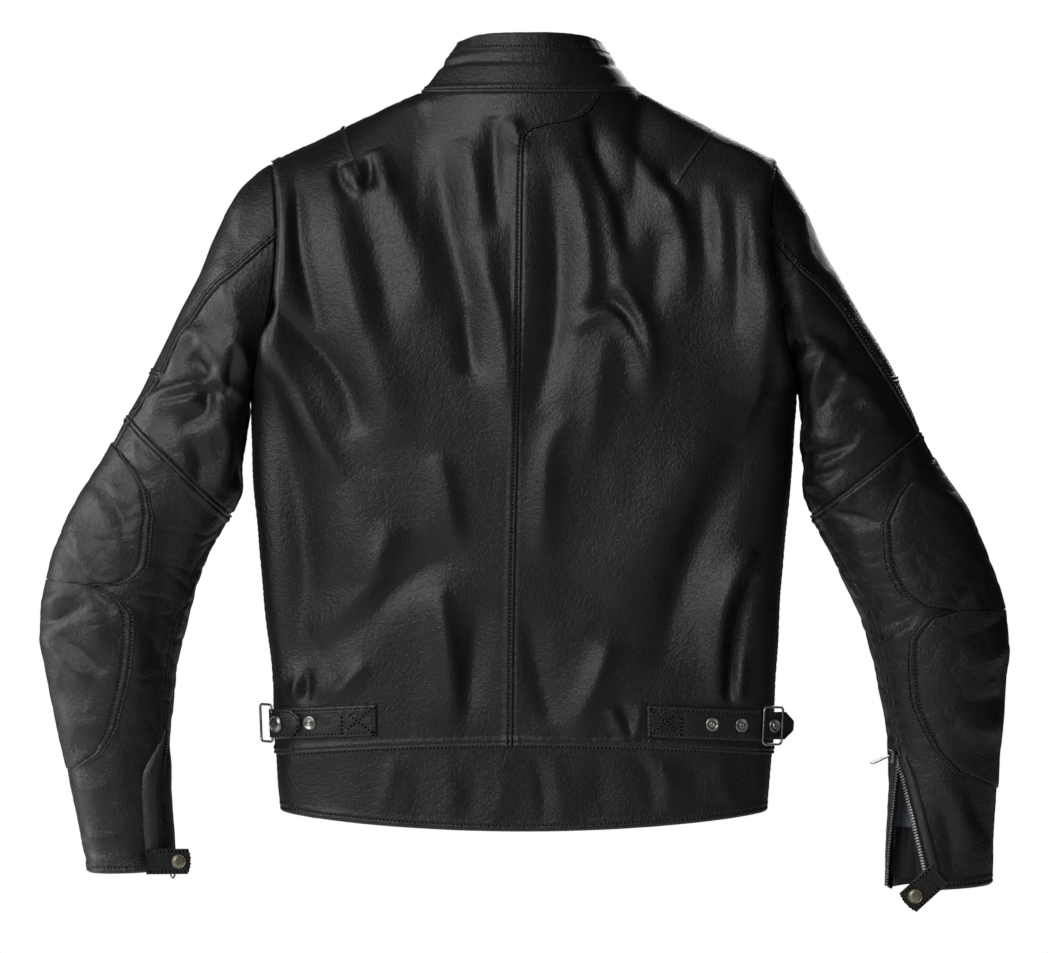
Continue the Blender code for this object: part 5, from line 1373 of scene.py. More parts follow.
def build_collar():
    """The collar: outer face, rolled top edge and inner face in one band, then its stitching."""
    outer = Panel(COLLAR_SKIN, steady(-COLLAR_OPEN), steady(COLLAR_OPEN), COLLAR_FOOT, COLLAR_EDGE,
                  kinds("free free over -"), coarse=0.0022, rows=0.0011)
    columns = outer.a[0]
    turns = np.linspace(0, math.pi, 9)[1:]
    n = COLLAR_SKIN.normal(columns, COLLAR_EDGE + 0 * columns)
    roll = [outer.points[-1] - n * COLLAR_DEPTH / 2 * (1 - math.cos(t))
            + np.array([0, 0, COLLAR_ROLL]) * math.sin(t) for t in turns]

    def inside(w):
        return COLLAR_SKIN.at(columns, w + 0 * columns, -COLLAR_DEPTH, 0.5)
    inner = [inside(w) + (roll[-1] - inside(COLLAR_EDGE)) * step(w, 0.6, COLLAR_EDGE)
             for w in np.linspace(0.96, COLLAR_FOOT, 24)]
    points = np.concatenate([outer.points, np.stack(roll), np.stack(inner)])
    wear = np.zeros(points.shape[:2])
    wear[:len(outer.points)] = outer.wear
    wear[len(outer.points):len(outer.points) + len(roll)] = 0.25
    rows, count = points.shape[:2]
    # The two front ends close: outer face to inner face, rounded.
    faces = list(grid_faces(rows, count, flip=outer.flip))
    for column, flip in ((0, not outer.flip), (count - 1, outer.flip)):
        for k in range(rows // 2):
            quad = [k * count + column, (k + 1) * count + column, (rows - 2 - k) * count + column,
                    (rows - 1 - k) * count + column]
            if len(set(quad)) == 4 and k + 1 < rows - 2 - k:
                faces.append(quad[::-1] if flip else quad)
    rest_on(piece("collar_leather", points, np.array(faces), "soft_leather", wear), "body", "collar")
    threads = Stitching()
    for edge, inset in (("low", SEAM_STITCH), ("high", COLLAR_TOP_STITCH)):
        threads.row(outer.row_of(edge, inset, 0.01, 0.99))
    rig.ride(threads.build("collar_stitching"), "body")


# ---------------------------------------------------------------- linings and armour
def sheet_between(name, skin, columns, rows, depth, finish, *nodes, cells=(90, 110), soft=0.0008):
    """A lining: a thin sheet this deep inside the leather, with fine folds of its own."""
    b = np.linspace(*rows, cells[1])[:, None] + np.zeros((1, cells[0]))
    lo, hi = (end + 0 * b for end in columns)
    a = lo + (hi - lo) * np.linspace(0, 1, cells[0])[None, :]
    base = skin.at(a, b, -depth)
    p = base + skin.normal(a, b) * (soft * noise(base * np.array([1, 1, 0.4]), 0.022, 61))[..., None]
    rest_on(piece(name, p, grid_faces(*p.shape[:2]), finish), "body", *nodes)


LINING_DEPTH = 0.0068
LINING_COLUMNS = ((0.14, 0.975), (0.045, 0.155))  # a front's lining, and the facing beside its zip


def build_linings():
    sheet_between("back_lining", BACK_SKIN, (-0.975, 0.975), (-0.88, 1.93), LINING_DEPTH, "lining",
                  "lining_back", cells=(150, 200))
    sheet_between("neck_facing", BACK_SKIN, (-0.40, 0.40), (1.62, 1.985), LINING_DEPTH + 0.0012, "facing")
    sheet_between("hem_facing_back", BACK_SKIN, (-0.985, 0.985), (-0.96, -0.30), 0.0048, "facing",
                  cells=(150, 12), soft=0.0003)
    for side, out in OUT.items():
        columns, facing = (sorted((out * near, out * far)) for near, far in LINING_COLUMNS)
        sheet_between(f"front_lining_{side}", FRONT_SKIN, columns, (-0.88, 1.93), LINING_DEPTH, "lining",
                      f"lining_front_{side}", cells=(80, 200))
        sheet_between(f"front_facing_{side}", FRONT_SKIN, facing, (-0.96, 1.90), LINING_DEPTH - 0.0006,
                      "facing", cells=(20, 160), soft=0.0003)


PAD_GRID = (64, 72)
BACK_PAD, ARM_PAD = (0.0088, 0.0062), (0.0056, 0.0060)  # depth under the leather, and thickness


def armour(name, skin, columns, rows, depth, thick):
    """A pad: a crowned, rounded slab of foam with ventilation grooves, following its surface."""
    n_a, n_b = PAD_GRID
    s, t = np.meshgrid(np.linspace(-1, 1, n_a), np.linspace(-1, 1, n_b))
    square = 1 - 0.12 * (np.abs(s) ** 6 * np.abs(t) ** 2 + np.abs(t) ** 6 * np.abs(s) ** 2)
    a = sum(columns) / 2 + (columns[1] - columns[0]) / 2 * s * square
    b = sum(rows) / 2 + (rows[1] - rows[0]) / 2 * t * square
    rim = np.clip((1 - np.maximum(np.abs(s), np.abs(t))) / 0.10, 0, 1)
    crown = np.sqrt(1 - (1 - rim) ** 2)
    groove = 0.0012 * (np.abs(np.sin(s * 9)) ** 12 + np.abs(np.sin(t * 11)) ** 12) * crown
    faces, layers = [], []
    for height, flip in ((-depth + 0 * s, False), (-depth - thick * crown + groove - 0.0001, True)):
        layers.append(skin.at(a, b, height, 0.85))
        faces.append(grid_faces(n_b, n_a, start=len(faces) * n_a * n_b, flip=flip))
    pad = piece(name, np.stack(layers), np.concatenate(faces), "foam")
    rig.padded(pad, fill=0.8)
    return pad


def build_armour():
    """The back pad rides on the body, and the sleeves' pads bend with the leather over them."""
    rest_on(armour("back_armour", BACK_SKIN, (-0.60, 0.60), (0.375, 1.625), *BACK_PAD), "body",
            "back_protector")
    for side, skin in SLEEVE_SKINS.items():
        for joint, *span in (("shoulder", (-0.9, 0.9), (0.6, 3.0)), ("elbow", (-1.3, 0.35), (6.82, 8.7))):
            pad = armour(f"{side}_{joint}_armour", skin, *span, *ARM_PAD)
            bend(pad, side, joint == "shoulder", f"{side}_{joint}_protector")


# ---------------------------------------------------------------- sleeves
PATCH_STOP = 0.075  # the angle short of the sleeve's outer edge at which a patch ends
# Inner edges of the elbow patches' two lobes, as (row, degrees round the sleeve).
PATCHES = {
    "left": {"upper": ((4.97, 352), (4.99, 318), (5.05, 296), (5.18, 277), (5.48, 262), (6.19, 250),
                       (6.45, 255), (6.57, 266), (6.63, 286)),
             "lower": ((6.64, 284), (6.73, 266), (7.00, 251), (7.84, 249), (8.48, 261), (8.78, 280),
                       (8.92, 308), (8.96, 352))},
    "right": {"upper": ((5.16, 352), (5.19, 318), (5.26, 288), (5.36, 273), (5.60, 256), (6.22, 243),
                        (6.70, 243), (6.92, 256), (6.98, 278)),
              "lower": ((6.99, 277), (7.08, 258), (7.38, 240), (8.01, 231), (8.50, 237), (8.90, 252),
                        (9.10, 276), (9.19, 318), (9.22, 352))},
}


def table(rows):
    """A smooth function of a sleeve's row, from a table of (row, degrees)."""
    def value(row):
        t = np.interp(row, [r for r, _ in rows], range(len(rows)))
        return np.radians(smooth([(d,) for _, d in rows], t)[..., 0])
    return value


# The sleeve's two long seams: along its ridge at the back, and along its inner side.
ridge_seam = table(((0, 288), (1, 285), (2, 289), (3, 313), (4, 323), (5, 340), (6, 353), (7, 359),
                    (10, 359)))
inner_seam = table(((0, 180), (5, 181), (6, 192), (7.3, 205), (8.6, 202), (9.2, 214), (10, 219)))
OPEN_ROW = 9.0  # where the right cuff's opening starts
OPEN_FRONT, OPEN_BACK = math.radians(-37), math.radians(40)


def parted(row, most):
    """How far an edge of the open right cuff has moved from the seam at that row."""
    return most * np.clip((row - OPEN_ROW) / (CUFF_ROW - OPEN_ROW), 0, 1)


# On the left sleeve the surface's own normal points out, and on the right it points in.
SLEEVE_SKINS = {side: Skin(lambda angle, row, side=side: sleeve(side, angle, row), -OUT[side],
                           np.linspace(-TAU, TAU, 721), np.linspace(0, CUFF_ROW, 401),
                           lambda p, angle, row, side=side: sleeve_height(side, p, angle, row))
                for side in OUT}


ARM_WAY = (0.902, -0.431)  # outwards and up, along the upper arm from the armhole
SHOULDER_BEND, ELBOW_BEND = (0.010, 0.120), (5.9, 7.5)  # in metres from the armhole, and in rows


def bend_line(side, upper):
    """Start and end of the soft bend at the shoulder or the elbow."""
    if upper:
        armhole = Vector((OUT[side] * (SHOULDER_HALF + ARMPIT_HALF) / 2, MID_Y, (SHOULDER_Z + ARMPIT_Z) / 2))
        away = Vector((OUT[side] * ARM_WAY[0], 0, ARM_WAY[1]))
        return [armhole + away * distance for distance in SHOULDER_BEND]
    return [Vector(sleeve(side, [0.0, math.pi], row).mean(0)) for row in ELBOW_BEND]


def bend(obj, side, upper, *nodes):
    if nodes:
        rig.replaces(obj, *nodes)
    bodies = ("body", f"{side}_upper_arm") if upper else (f"{side}_upper_arm", f"{side}_forearm")
    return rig.blend(obj, *bodies, *bend_line(side, upper))


# Short seams across the outer arm, above and beside the elbow patch.
ARM_SEAMS = {"left": ((-0.3420, -0.2590), (-0.3340, -0.2625), (-0.3260, -0.2660)),
             "right": ((0.3190, -0.2700), (0.3310, -0.2690), (0.3430, -0.2670))}
PATCH_SEAMS = {"left": ((-0.3860, -0.3350), (-0.3800, -0.3380), (-0.3740, -0.3410)),
               "right": ((0.3640, -0.3510), (0.3700, -0.3500), (0.3760, -0.3490))}


def build_sleeve(side):
    skin, split = SLEEVE_SKINS[side], SPLIT_ROW[side]
    right = side == "right"
    tuck = math.radians(1.6)

    def back_start(row):
        return inner_seam(row) + (parted(row, OPEN_BACK) if right else 0)

    def front_end(row):
        return inner_seam(row) + tuck * (row < 9.0) + (parted(row, OPEN_FRONT) if right else 0)

    halves = {"back": (back_start, lambda row: ridge_seam(row) + tuck),
              "front": (lambda row: ridge_seam(row) - TAU, front_end)}
    for half, ends in halves.items():
        threads = Stitching()
        upper = Panel(skin, *ends, 0.02, split + SPLIT_LAP, kinds("over under under under"))
        lower = Panel(skin, *ends, split, CUFF_ROW, kinds("over under over hem"))
        bend(upper.build(f"{side}_upper_sleeve_{half}_leather"), side, True, f"{side}_upper_sleeve_{half}")
        bend(lower.build(f"{side}_lower_sleeve_{half}_leather"), side, False, f"{side}_forearm_{half}")
        if half == "front":
            for lobe, panel, path in (("upper", upper, ARM_SEAMS[side]), ("lower", lower, PATCH_SEAMS[side])):
                seam = ridge(f"{side}_arm_cross_seam_{lobe}", (panel,), path, CROSS_SEAM, cells=30)
                bend(seam, side, lobe == "upper")
            upper_threads = Stitching().row(upper.row_of("left", RIDGE_STITCH))
            bend(upper_threads.build(f"{side}_ridge_stitching_upper"), side, True)
            threads.row(lower.row_of("left", RIDGE_STITCH))
        threads.row(lower.row_of("high", HEM_STITCH, 0.02, 0.98))
        bend(threads.build(f"{side}_lower_sleeve_{half}_stitching"), side, False)
    build_patches(side, skin)
    for name, rows, upper in (("upper", (0.25, split + 0.05), True), ("lower", (split, 9.72), False)):
        if right and not upper:
            ends = (lambda row: inner_seam(row) + parted(row, OPEN_BACK) + 0.03,
                    lambda row: TAU + inner_seam(row) + parted(row, OPEN_FRONT) - 0.03)
        else:
            ends = (inner_seam, lambda row: TAU + inner_seam(row))
        bend(sleeve_lining(f"{side}_{name}_sleeve_lining", skin, ends, rows), side, upper)


def sleeve_lining(name, skin, ends, rows, depth=0.0046):
    b = np.linspace(*rows, 110)[:, None] + np.zeros((1, 70))
    a = ends[0](b) + (ends[1](b) - ends[0](b)) * np.linspace(0, 1, 70)[None, :]
    p = skin.at(np.where(a > TAU, a - TAU, a), b, -depth, 0.6)
    return piece(name, p, grid_faces(*p.shape[:2]), "satin")


def build_patches(side, skin):
    """The two lobes of the elbow patch, each a soft leather panel raised a little on its padding."""
    threads = Stitching()
    for lobe, outline in PATCHES[side].items():
        panel = Panel(skin, table(outline), steady(TAU - PATCH_STOP), outline[0][0], outline[-1][0],
                      kinds("over - - -"), above=0.0006, coarse=0.0018, rows=0.0015, reach=0.013)
        inset = panel.distance["left"]
        padding = (0.0012 + 0.0002 * noise(panel.points, 0.014, 71)) * step(inset, 0.002, 0.020)
        second_seam = bell(inset, 0.0010, 0.0100, 0.0011)
        panel.points = panel.points + panel.normal * (padding - second_seam)[..., None]
        patch = panel.build(f"{side}_elbow_patch_{lobe}_leather", "soft_leather")
        bend(patch, side, False, f"{side}_elbow_patch_{lobe}")
        for inset, start in zip(PATCH_STITCHES, (0.01, 0.03)):
            threads.row(panel.row_of("left", inset, start, 1 - start))
    bend(threads.build(f"{side}_elbow_patch_stitching"), side, False)


# ---------------------------------------------------------------- straps, tabs and snaps
# Distances of the straps' sockets and of the left strap's cap from the middle of the back.
STUDS = {"left": (0.1916,), "right": (0.1684, 0.1945)}
LEFT_CAP = 0.2170
BOX_LENGTH = 0.0300  # of the stitched box with its cross at a strap's sewn end
FOLDED_TIP, FOLDED_ROOT, FOLDED_POINT = 0.1990, 0.2212, 0.0085  # the left strap's folded end and its point
RING_HALF_HEIGHT, RING_HALF_WIDTH = 0.0168, 0.0105
RING_WIRE, RING_WIRE_RADIUS = 0.0010, 0.00115  # the room its bar takes, and the wire itself
# A snap socket in section: radius and height.
SOCKET = ((0.0062, 0.0), (0.0062, 0.0007), (0.0058, 0.0012), (0.0051, 0.0014), (0.0043, 0.0012),
          (0.0037, 0.0006), (0.0028, 0.0004), (0.0025, 0.0006), (0.0023, 0.0017), (0.0019, 0.0021),
          (0.0012, 0.0022), (0.0009, 0.0017), (0.0001, 0.0016))


def cap_profile(radius, height):
    """A plain snap cap: rolled rim, a shallow ring and a slightly domed face."""
    shares = ((0.93, 0.0), (1.0, 0.25), (0.995, 0.55), (0.94, 0.78), (0.88, 0.82), (0.84, 0.70), (0.80, 0.70),
              (0.74, 0.84), (0.50, 0.96), (0.25, 1.0), (0.0001 / radius, 1.0))
    return [(radius * r, height * h) for r, h in shares]


def strap_skin(side):
    inner, inner_z, outer, outer_z = STRAPS[side]

    def surface(across, distance):
        middle = inner_z + (outer_z - inner_z) * (distance - inner) / (outer - inner)
        z = middle + np.asarray(across) * STRAP_WIDTH / 2
        share = np.clip(distance / along(SIDE, z), 0, 0.9995)
        waist = WAIST_Z - WAIST_SIDE_DROP * share**2
        return torso_plain(-1, OUT[side] * section_at(share), (z - waist) / (ARMPIT_Z - waist))
    return Skin(surface, -OUT[side], np.linspace(-1.2, 1.2, 60), np.linspace(0.10, 0.235, 160),
                lambda p, a, b: 0.0005 * noise(p, 0.013, 81) + 0.0003 * noise(p, 0.006, 83))


def on_strap(skin, distance, lift):
    """A place on a strap: local Y towards the body's side, local Z outwards."""
    behind, here = (skin.at(0.0, distance - d, lift, 0.0) for d in (1e-3, 0))
    return frame_at(here, here - behind, skin.normal(0.0, distance))


def rounded_corners(half_width, half_height, radius, steps=7):
    """A rectangle with round corners, anticlockwise."""
    points = []
    for k, (sx, sy) in enumerate(((1, 1), (-1, 1), (-1, -1), (1, -1))):
        for turn in np.linspace(0, 90, steps):
            angle = math.radians(turn + 90 * k)
            points.append((sx * (half_width - radius) + radius * math.cos(angle),
                           sy * (half_height - radius) + radius * math.sin(angle)))
    return points


def thick_edge(panel, rims, seam, worn):
    """Rounds a strap's edges, sinks its stitching and wears its rim: both are (distance in, width)."""
    rim = np.minimum.reduce([panel.distance[edge] for edge in rims])
    shape = 0.0006 * step(rim, 0.0, 0.0014) - bell(rim, 0.0004, *seam)
    panel.points = panel.points + panel.normal * shape[..., None]
    panel.wear = bell(rim, 1.0, *worn)


def build_adjusters():
    for side in OUT:
        skin = strap_skin(side)
        inner, _, outer, _ = STRAPS[side]
        strap = Panel(skin, steady(-1), steady(1), inner, outer, kinds("free free free free"), coarse=0.0012,
                      rows=0.0016, above=STRAP_LIFT - 0.0006, reach=0.003)
        thick_edge(strap, SIDES, (STRAP_STITCH, 0.0007), (0.0006, 0.0008))
        rest_on(strap.build(f"{side}_strap_leather", turn_in=0.0026, tuck=0.004), "body",
                f"{side}_adjuster_strap")
        threads = Stitching()
        for edge in ("left", "right", "low"):
            threads.row(strap.row_of(edge, STRAP_STITCH, 0.03, 0.97))
        box = inner + BOX_LENGTH
        for start, end in (((-0.8, box), (0.8, box)), ((-0.8, inner + 0.003), (0.8, box - 0.001)),
                           ((0.8, inner + 0.003), (-0.8, box - 0.001))):
            a, b = (np.linspace(start[k], end[k], 30) for k in (0, 1))
            threads.row((skin.at(a, b, STRAP_LIFT + 0.0001), skin.normal(a, b)))
        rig.ride(threads.build(f"{side}_strap_stitching"), "body")
        for count, distance in enumerate(STUDS[side], 1):
            place = on_strap(skin, distance, STRAP_LIFT + 0.0002)
            rest_on(lathe(f"{side}_snap_socket_{count}", SOCKET, place, "nickel"), "body",
                    f"{side}_adjuster_stud_{count}")
        end = on_strap(skin, outer, STRAP_LIFT)
        front_bar = end @ Matrix.Translation((0, 2 * RING_HALF_WIDTH + RING_WIRE, RING_WIRE + 0.0005))
        corners = rounded_corners(RING_HALF_WIDTH, RING_HALF_HEIGHT, 0.0035)
        wire = wire_loop(f"{side}_ring_wire", [(z, y - RING_HALF_WIDTH, 0) for y, z in corners],
                         RING_WIRE_RADIUS, "nickel", front_bar)
        rest_on(wire, f"{side}_adjuster_ring", f"{side}_adjuster_ring")
        if side == "left":
            build_folded_end(skin)
    end = on_strap(strap_skin("right"), STRAPS["right"][2], STRAP_LIFT)
    place = end @ Matrix.Translation((0, 0.0020, -0.0009)) @ Matrix.Rotation(math.pi, 4, "Z")
    swept_strap("right_strap_end", place, 0.0340, 0.0250, 0.009, 0.0020, "right_adjuster_tab",
                "right_adjuster_tab")
    stud_place = place @ Matrix.Translation((0, -0.0125, 0.0010))
    rest_on(lathe("right_strap_end_stud", SOCKET, stud_place, "nickel"), "right_adjuster_tab")


POINT_TAPER = 0.62  # how much narrower a strap's pointed end is than the strap


def build_folded_end(skin):
    """The left strap's free end, folded back through its ring and snapped down."""
    def half(d):
        return 0.93 * (1 - POINT_TAPER * np.clip((FOLDED_TIP + FOLDED_POINT - d) / FOLDED_POINT, 0, 1))
    tab = Panel(skin, lambda d: -half(d), half, FOLDED_TIP, FOLDED_ROOT, kinds("free free free free"),
                coarse=0.0012, rows=0.0010, above=STRAP_LIFT + 0.0042, reach=0.003)
    thick_edge(tab, ("left", "right", "low"), (TAB_STITCH, 0.0006), (0.0005, 0.0009))
    rest_on(tab.build("left_strap_end", turn_in=0.0020, tuck=0.003), "left_adjuster_tab", "left_adjuster_tab")
    threads = Stitching()
    for edge in ("left", "right", "low"):
        threads.row(tab.row_of(edge, TAB_STITCH, 0.04, 0.96))
    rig.ride(threads.build("left_strap_end_stitching"), "left_adjuster_tab")
    cap_place = on_strap(skin, LEFT_CAP, STRAP_LIFT + 0.0050)
    rest_on(lathe("left_snap_cap", cap_profile(0.0076, 0.0030), cap_place, "nickel"), "left_adjuster_tab",
            "left_adjuster_snap_cap")
    # The fold itself, round the ring's bar.
    end = on_strap(skin, 0.2225, STRAP_LIFT - 0.0010)
    turns, width = np.linspace(-0.5, 0.5, 15) * math.pi, np.linspace(-1, 1, 15) * STRAP_WIDTH / 2 * 0.95
    points = [[(x, 0.0002 + 0.0032 * math.cos(t) * (1 - 0.10 * (x / width[-1]) ** 4),
                0.0024 + 0.0030 * math.sin(t)) for x in width] for t in turns]
    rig.ride(piece("left_strap_fold", placed(end, points), grid_faces(15, 15), "leather"), "body")


def swept_strap(name, place, length, width, point, thickness, body, node):
    """A leather tab from local Y 0 to -length, with a pointed end, rounded edges and stitching round it."""
    shoulder = length - point  # where the pointed end starts
    y = -np.concatenate([np.linspace(0, shoulder, 24), shoulder + np.linspace(0.02, 1, 14) * point])
    half = np.where(-y < shoulder, width / 2, width / 2 * (1 - POINT_TAPER * (-y - length + point) / point))
    half = half * (1 - 0.10 * step(-y, length - 0.0012, length))
    c, z = circle(ROUND_SIDES)
    # A rounded bar in section: flat faces and full edges.
    x = np.sign(c) * np.abs(c) ** 0.35
    rise = np.sign(z) * np.abs(z) ** 0.55 * thickness / 2
    points = np.stack([half[:, None] * x, y[:, None] + 0 * x, rise[None] + 0 * half[:, None]], -1)
    points[..., 2] += 0.0003 * noise(points, 0.009, 91)
    last = len(y) * ROUND_SIDES
    faces = grid_faces(len(y), ROUND_SIDES, wrap=True).tolist()
    faces += [list(range(ROUND_SIDES)), list(range(last - 1, last - ROUND_SIDES - 1, -1))]
    wear = np.tile(np.abs(x) ** 12, (len(y), 1))
    rest_on(piece(name, placed(place, points), faces, "leather", wear), body, node)
    outline = [(-half[k] + TAB_STITCH, y[k]) for k in range(2, len(y) - 1)]
    outline += [(0, y[-1] + TAB_STITCH)] + [(half[k] - TAB_STITCH, y[k]) for k in range(len(y) - 2, 1, -1)]
    line = np.array([(px, py, thickness / 2) for px, py in outline])
    up = np.tile(np.array(place)[:3, 2], (len(line), 1))
    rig.ride(Stitching().row((placed(place, line), up)).build(f"{name}_stitching"), body)


def build_tabs():
    tabs = {
        "left": ((-0.3405, MID_Y + 0.010 - 0.0420, -0.7035), (1.0, 0.28, -0.02), (0.30, -1.0, 0)),
        "right": ((0.3745, MID_Y + 0.010 - 0.0415, -0.7150), (-0.76, 0.05, -0.70), (0, -1.0, 0)),
    }
    for side, (hinge, way, face) in tabs.items():
        place = frame_at(hinge, -Vector(way), face)
        swept_strap(f"{side}_cuff_tab_leather", place, 0.040, 0.023, 0.002, 0.0022, f"{side}_cuff_tab",
                    f"{side}_cuff_tab")
        cap = lathe(f"{side}_cuff_cap", cap_profile(0.0066, 0.0026),
                    place @ Matrix.Translation((0, -0.029, 0.0011)), "brass")
        rest_on(cap, f"{side}_cuff_tab", f"{side}_cuff_snap_cap")
    at = Vector(collar(math.radians(164), 0.45))
    place = frame_at((-0.024, at.y + 0.0115, at.z), (-1, 0, 0), (0, 1, 0))
    swept_strap("collar_tab_leather", place, 0.052, 0.020, 0.008, 0.0024, "collar_tab", "collar_tab")
    cap = lathe("collar_tab_cap", cap_profile(0.0062, 0.0026),
                place @ Matrix.Translation((0, -0.041, 0.0012)), "brass")
    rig.ride(cap, "collar_tab")


# ---------------------------------------------------------------- cuff zips
def tooth_row(name, points, normals, body, *nodes, finish="teeth", wide=0.0032, pitch=0.0026):
    """Metal teeth along an open zip's edge."""
    run = run_of(points)
    at = np.arange(int(run[-1] / pitch)) * pitch
    centre, up = (np.stack([np.interp(at, run, v[:, k]) for k in range(3)], -1) for v in (points, normals))
    along_path = unit(np.gradient(centre, axis=0))
    across = unit(np.cross(along_path, up))
    box = BOX_CORNERS * np.array([wide, pitch * 0.58, 0.0020])
    corners = centre[:, None] + sum(axis[:, None] * box[None, :, k:k + 1] for k, axis in
                                    enumerate((across, along_path, up)))
    return rest_on(teeth(name, corners, finish, 0.0003), body, *nodes)


# Strips beside the cuff zips in section: degrees from the zip's edge, and height above the leather.
LEFT_TAPE = ((0.5, 0.0022), (5, 0.0024), (9, 0.0026), (12, 0.0044))
LEFT_WELT = ((12, 0.0044), (18, 0.0042), (24, 0.0022), (27, -0.0004))
RIGHT_TAPE = ((-2.2, 0.0012), (1, 0.0014), (6, 0.0012), (10, 0.0004))
RIGHT_FACING = ((2.5, 0.0012), (3.0, 0.0024), (4.5, 0.0030), (9, 0.0028), (12, 0.0024), (13, 0.0004))
SLEEVE_SHARE = 0.6  # of the sleeve's folds, in what is sewn inside it
CLOTH_ROWS = 34  # rows of the gusset that are cloth; the rest are satin
LEFT_ZIP_ROWS, RIGHT_ZIP_ROWS, GUSSET_ROWS = (8.55, 9.93), (9.02, 9.985), (9.10, 9.93)


def cuff_strip(name, side, strip, finish, edge, rows, turn, taper=1.0, share=SLEEVE_SHARE):
    """A strip beside a cuff's zip: turn is 1 or -1 for the side of the zip that it lies on."""
    lift = 0.4 + 0.6 * taper
    points = np.stack([SLEEVE_SKINS[side].at(edge + turn * math.radians(d) * taper, rows, h * lift, share)
                       for d, h in strip], 1)
    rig.ride(piece(name, points, grid_faces(len(rows), len(strip), flip=turn > 0), finish), f"{side}_forearm")


def build_cuff_zips():
    skin = SLEEVE_SKINS["left"]
    rows = np.linspace(*LEFT_ZIP_ROWS, 60)
    middle, taper = inner_seam(rows), 0.22 + 0.78 * step(rows, LEFT_ZIP_ROWS[0], 9.05)
    # The left cuff's teeth take the darkened copy of the teeth: painted shade of the slit round them.
    tooth_row("left_cuff_teeth", skin.at(middle, rows, 0.0030, 0.4), skin.normal(middle, rows),
              "left_forearm", "left_cuff_zip", finish="dark_teeth")
    for turn, word in ((1, "outer"), (-1, "inner")):
        cuff_strip(f"left_cuff_tape_{word}", "left", LEFT_TAPE, "tape", middle, rows, turn, taper, 0.4)
        cuff_strip(f"left_cuff_welt_{word}", "left", LEFT_WELT, "facing", middle, rows, turn, taper, 0.4)
    skin = SLEEVE_SKINS["right"]
    rows = np.linspace(*RIGHT_ZIP_ROWS, 60)
    for word, most, turn in (("front", OPEN_FRONT, -1), ("back", OPEN_BACK, 1)):
        edge = inner_seam(rows) + parted(rows, most)
        points = skin.at(edge - turn * math.radians(3.0), rows, 0.0020, SLEEVE_SHARE)
        nodes = ("right_cuff_zip",) if word == "front" else ()
        tooth_row(f"right_cuff_teeth_{word}", points, skin.normal(edge, rows), "right_forearm", *nodes,
                  wide=0.0040)
        cuff_strip(f"right_cuff_tape_{word}", "right", RIGHT_TAPE, "tape", edge, rows, turn)
        cuff_strip(f"right_cuff_facing_{word}", "right", RIGHT_FACING, "facing", edge, rows, turn)
    share = np.linspace(0, 1, 40)[None, :]
    rows = np.linspace(*GUSSET_ROWS, 60)[:, None]
    near, far = (skin.at(inner_seam(rows) + parted(rows, most) + 0 * share, rows + 0 * share, -0.0022,
                         SLEEVE_SHARE) for most in (OPEN_FRONT, OPEN_BACK))
    arch = np.sin(np.pi * share)
    sag = 0.0045 + (0.013 + 0.0030 * np.sin(share * 9 + rows * 4)) * arch
    points = near + (far - near) * share[..., None] + sag[..., None] * np.array([0.35, 0.94, 0])
    for name, part, finish, nodes in (("cloth", points[:CLOTH_ROWS + 1], "gusset", ("right_cuff_gusset",)),
                                      ("satin", points[CLOTH_ROWS:], "satin", ())):
        rest_on(piece(f"right_cuff_gusset_{name}", part, grid_faces(len(part), 40), finish),
                "right_forearm", *nodes)


# ---------------------------------------------------------------- stage
FLOOR_DROP, FLOOR_SIDES, FLOOR_RADII = 0.42, 64, (0.4, 1.2, 2.9)
AIM = Vector((0, MID_Y, -0.356))
PICTURE_WIDTH = 0.954  # how wide the picture is at the side seams
# Each lamp's place, size and power.
LAMPS = {"key": ((-1.15, -1.50, 0.38), (1.2, 1.5), 34), "top": ((-0.3, -0.8, 1.9), (1.4, 0.5), 5),
         "left rim": ((-2.0, 0.35, -0.1), (0.4, 1.8), 24), "fill": ((1.7, -1.7, 0.2), (0.8, 1.4), 2.2),
         "front": ((0.6, 3.0, 0.8), (1.8, 1.4), 42)}


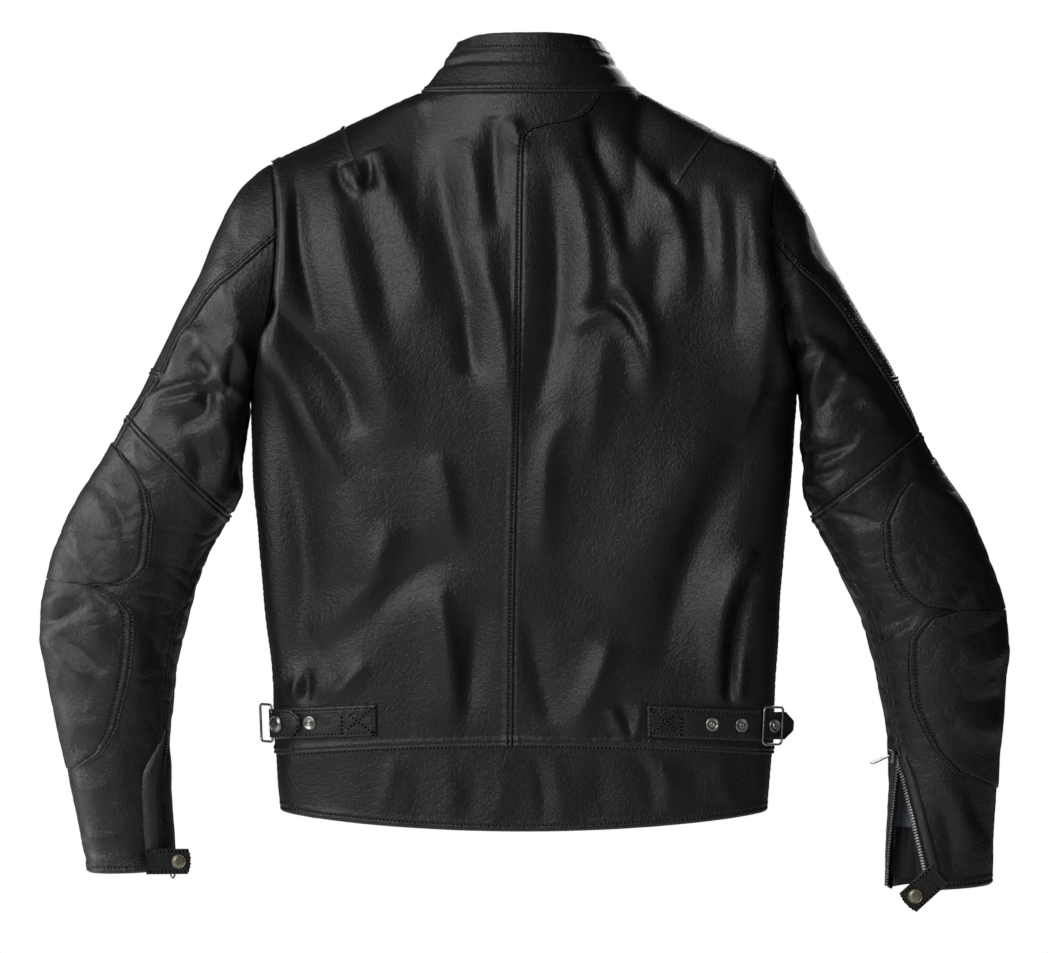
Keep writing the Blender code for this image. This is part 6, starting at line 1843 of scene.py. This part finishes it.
def build_stage():
    scene = bpy.context.scene
    scene.view_settings.view_transform = "Standard"
    sides = FLOOR_SIDES
    rings = [(r * math.cos(k * TAU / sides), r * math.sin(k * TAU / sides), CAD_BOX[0].z - FLOOR_DROP)
             for r in FLOOR_RADII for k in range(sides)]
    mesh = bpy.data.meshes.new("floor")
    faces = grid_faces(len(FLOOR_RADII), sides, wrap=True).tolist() + [list(range(sides))]
    mesh.from_pydata(rings, [], faces)
    pale, tree, shader = nodes_of("pale floor", 0.9)
    shader.inputs["Base Color"].default_value = (0.86, 0.86, 0.86, 1)
    speckle = texture(tree, "ShaderNodeTexNoise", place_of(tree), 6.0, Detail=3.0)
    tree.links.new(ramp(tree, speckle.outputs["Fac"], 0.84, 0.88), shader.inputs["Base Color"])
    mesh.materials.append(pale)
    floor = bpy.data.objects.new("floor", mesh)
    scene.collection.objects.link(floor)
    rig.stage(floor)

    world = bpy.data.worlds.new("studio")
    scene.world = world
    world.use_nodes = True
    tree = world.node_tree
    background = tree.nodes["Background"]
    # The backdrop is white to the camera and lights the jacket only faintly.
    ray = tree.nodes.new("ShaderNodeLightPath")
    strength = tree.nodes.new("ShaderNodeMapRange")
    strength.inputs["To Min"].default_value, strength.inputs["To Max"].default_value = 0.02, 1.0
    tree.links.new(ray.outputs["Is Camera Ray"], strength.inputs["Value"])
    tree.links.new(strength.outputs["Result"], background.inputs["Strength"])
    background.inputs["Color"].default_value = (1, 1, 1, 1)

    for name, (at, size, power) in LAMPS.items():
        light = bpy.data.lights.new(name, "AREA")
        light.shape, light.size, light.size_y, light.energy = "RECTANGLE", *size, power
        obj = bpy.data.objects.new(name, light)
        scene.collection.objects.link(obj)
        obj.location = at
        obj.rotation_euler = (AIM - Vector(at)).to_track_quat("-Z", "Y").to_euler()

    camera = bpy.data.objects.new("camera", bpy.data.cameras.new("camera"))
    scene.collection.objects.link(camera)
    camera.data.lens, camera.data.sensor_width = 135, 36
    distance = PICTURE_WIDTH * camera.data.lens / camera.data.sensor_width
    camera.location = AIM - Vector((0, distance, 0))
    camera.rotation_euler = (math.radians(90), 0, 0)
    scene.camera = camera


def finish_cad_nodes():
    """Gives each node its slot's material. Those that still show, the zips' sliders and pulls and the
    hanger loop, keep their CAD shape."""
    looks = {"black_leather": "leather", "nickel": "nickel", "antique_brass": "brass",
             "lining_cloth": "gusset", "protector_foam": "foam"}
    slots = {row["node"]: row["material_slot"] for row in frame["record"]["subparts"]}
    for name, obj in frame["nodes"].items():
        obj.data.materials.clear()
        obj.data.materials.append(MATERIALS[looks[slots[name]]])


def main():
    build_stage()
    finish_cad_nodes()
    build_back()
    build_front()
    build_front_zip()
    build_collar()
    build_linings()
    for side in OUT:
        build_sleeve(side)
    build_armour()
    build_adjusters()
    build_tabs()
    build_cuff_zips()


main()
with open("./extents.json", "w") as sizes:
    json.dump([[list(corner) for corner in box] for box in (CAD_BOX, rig.bounds())], sizes)
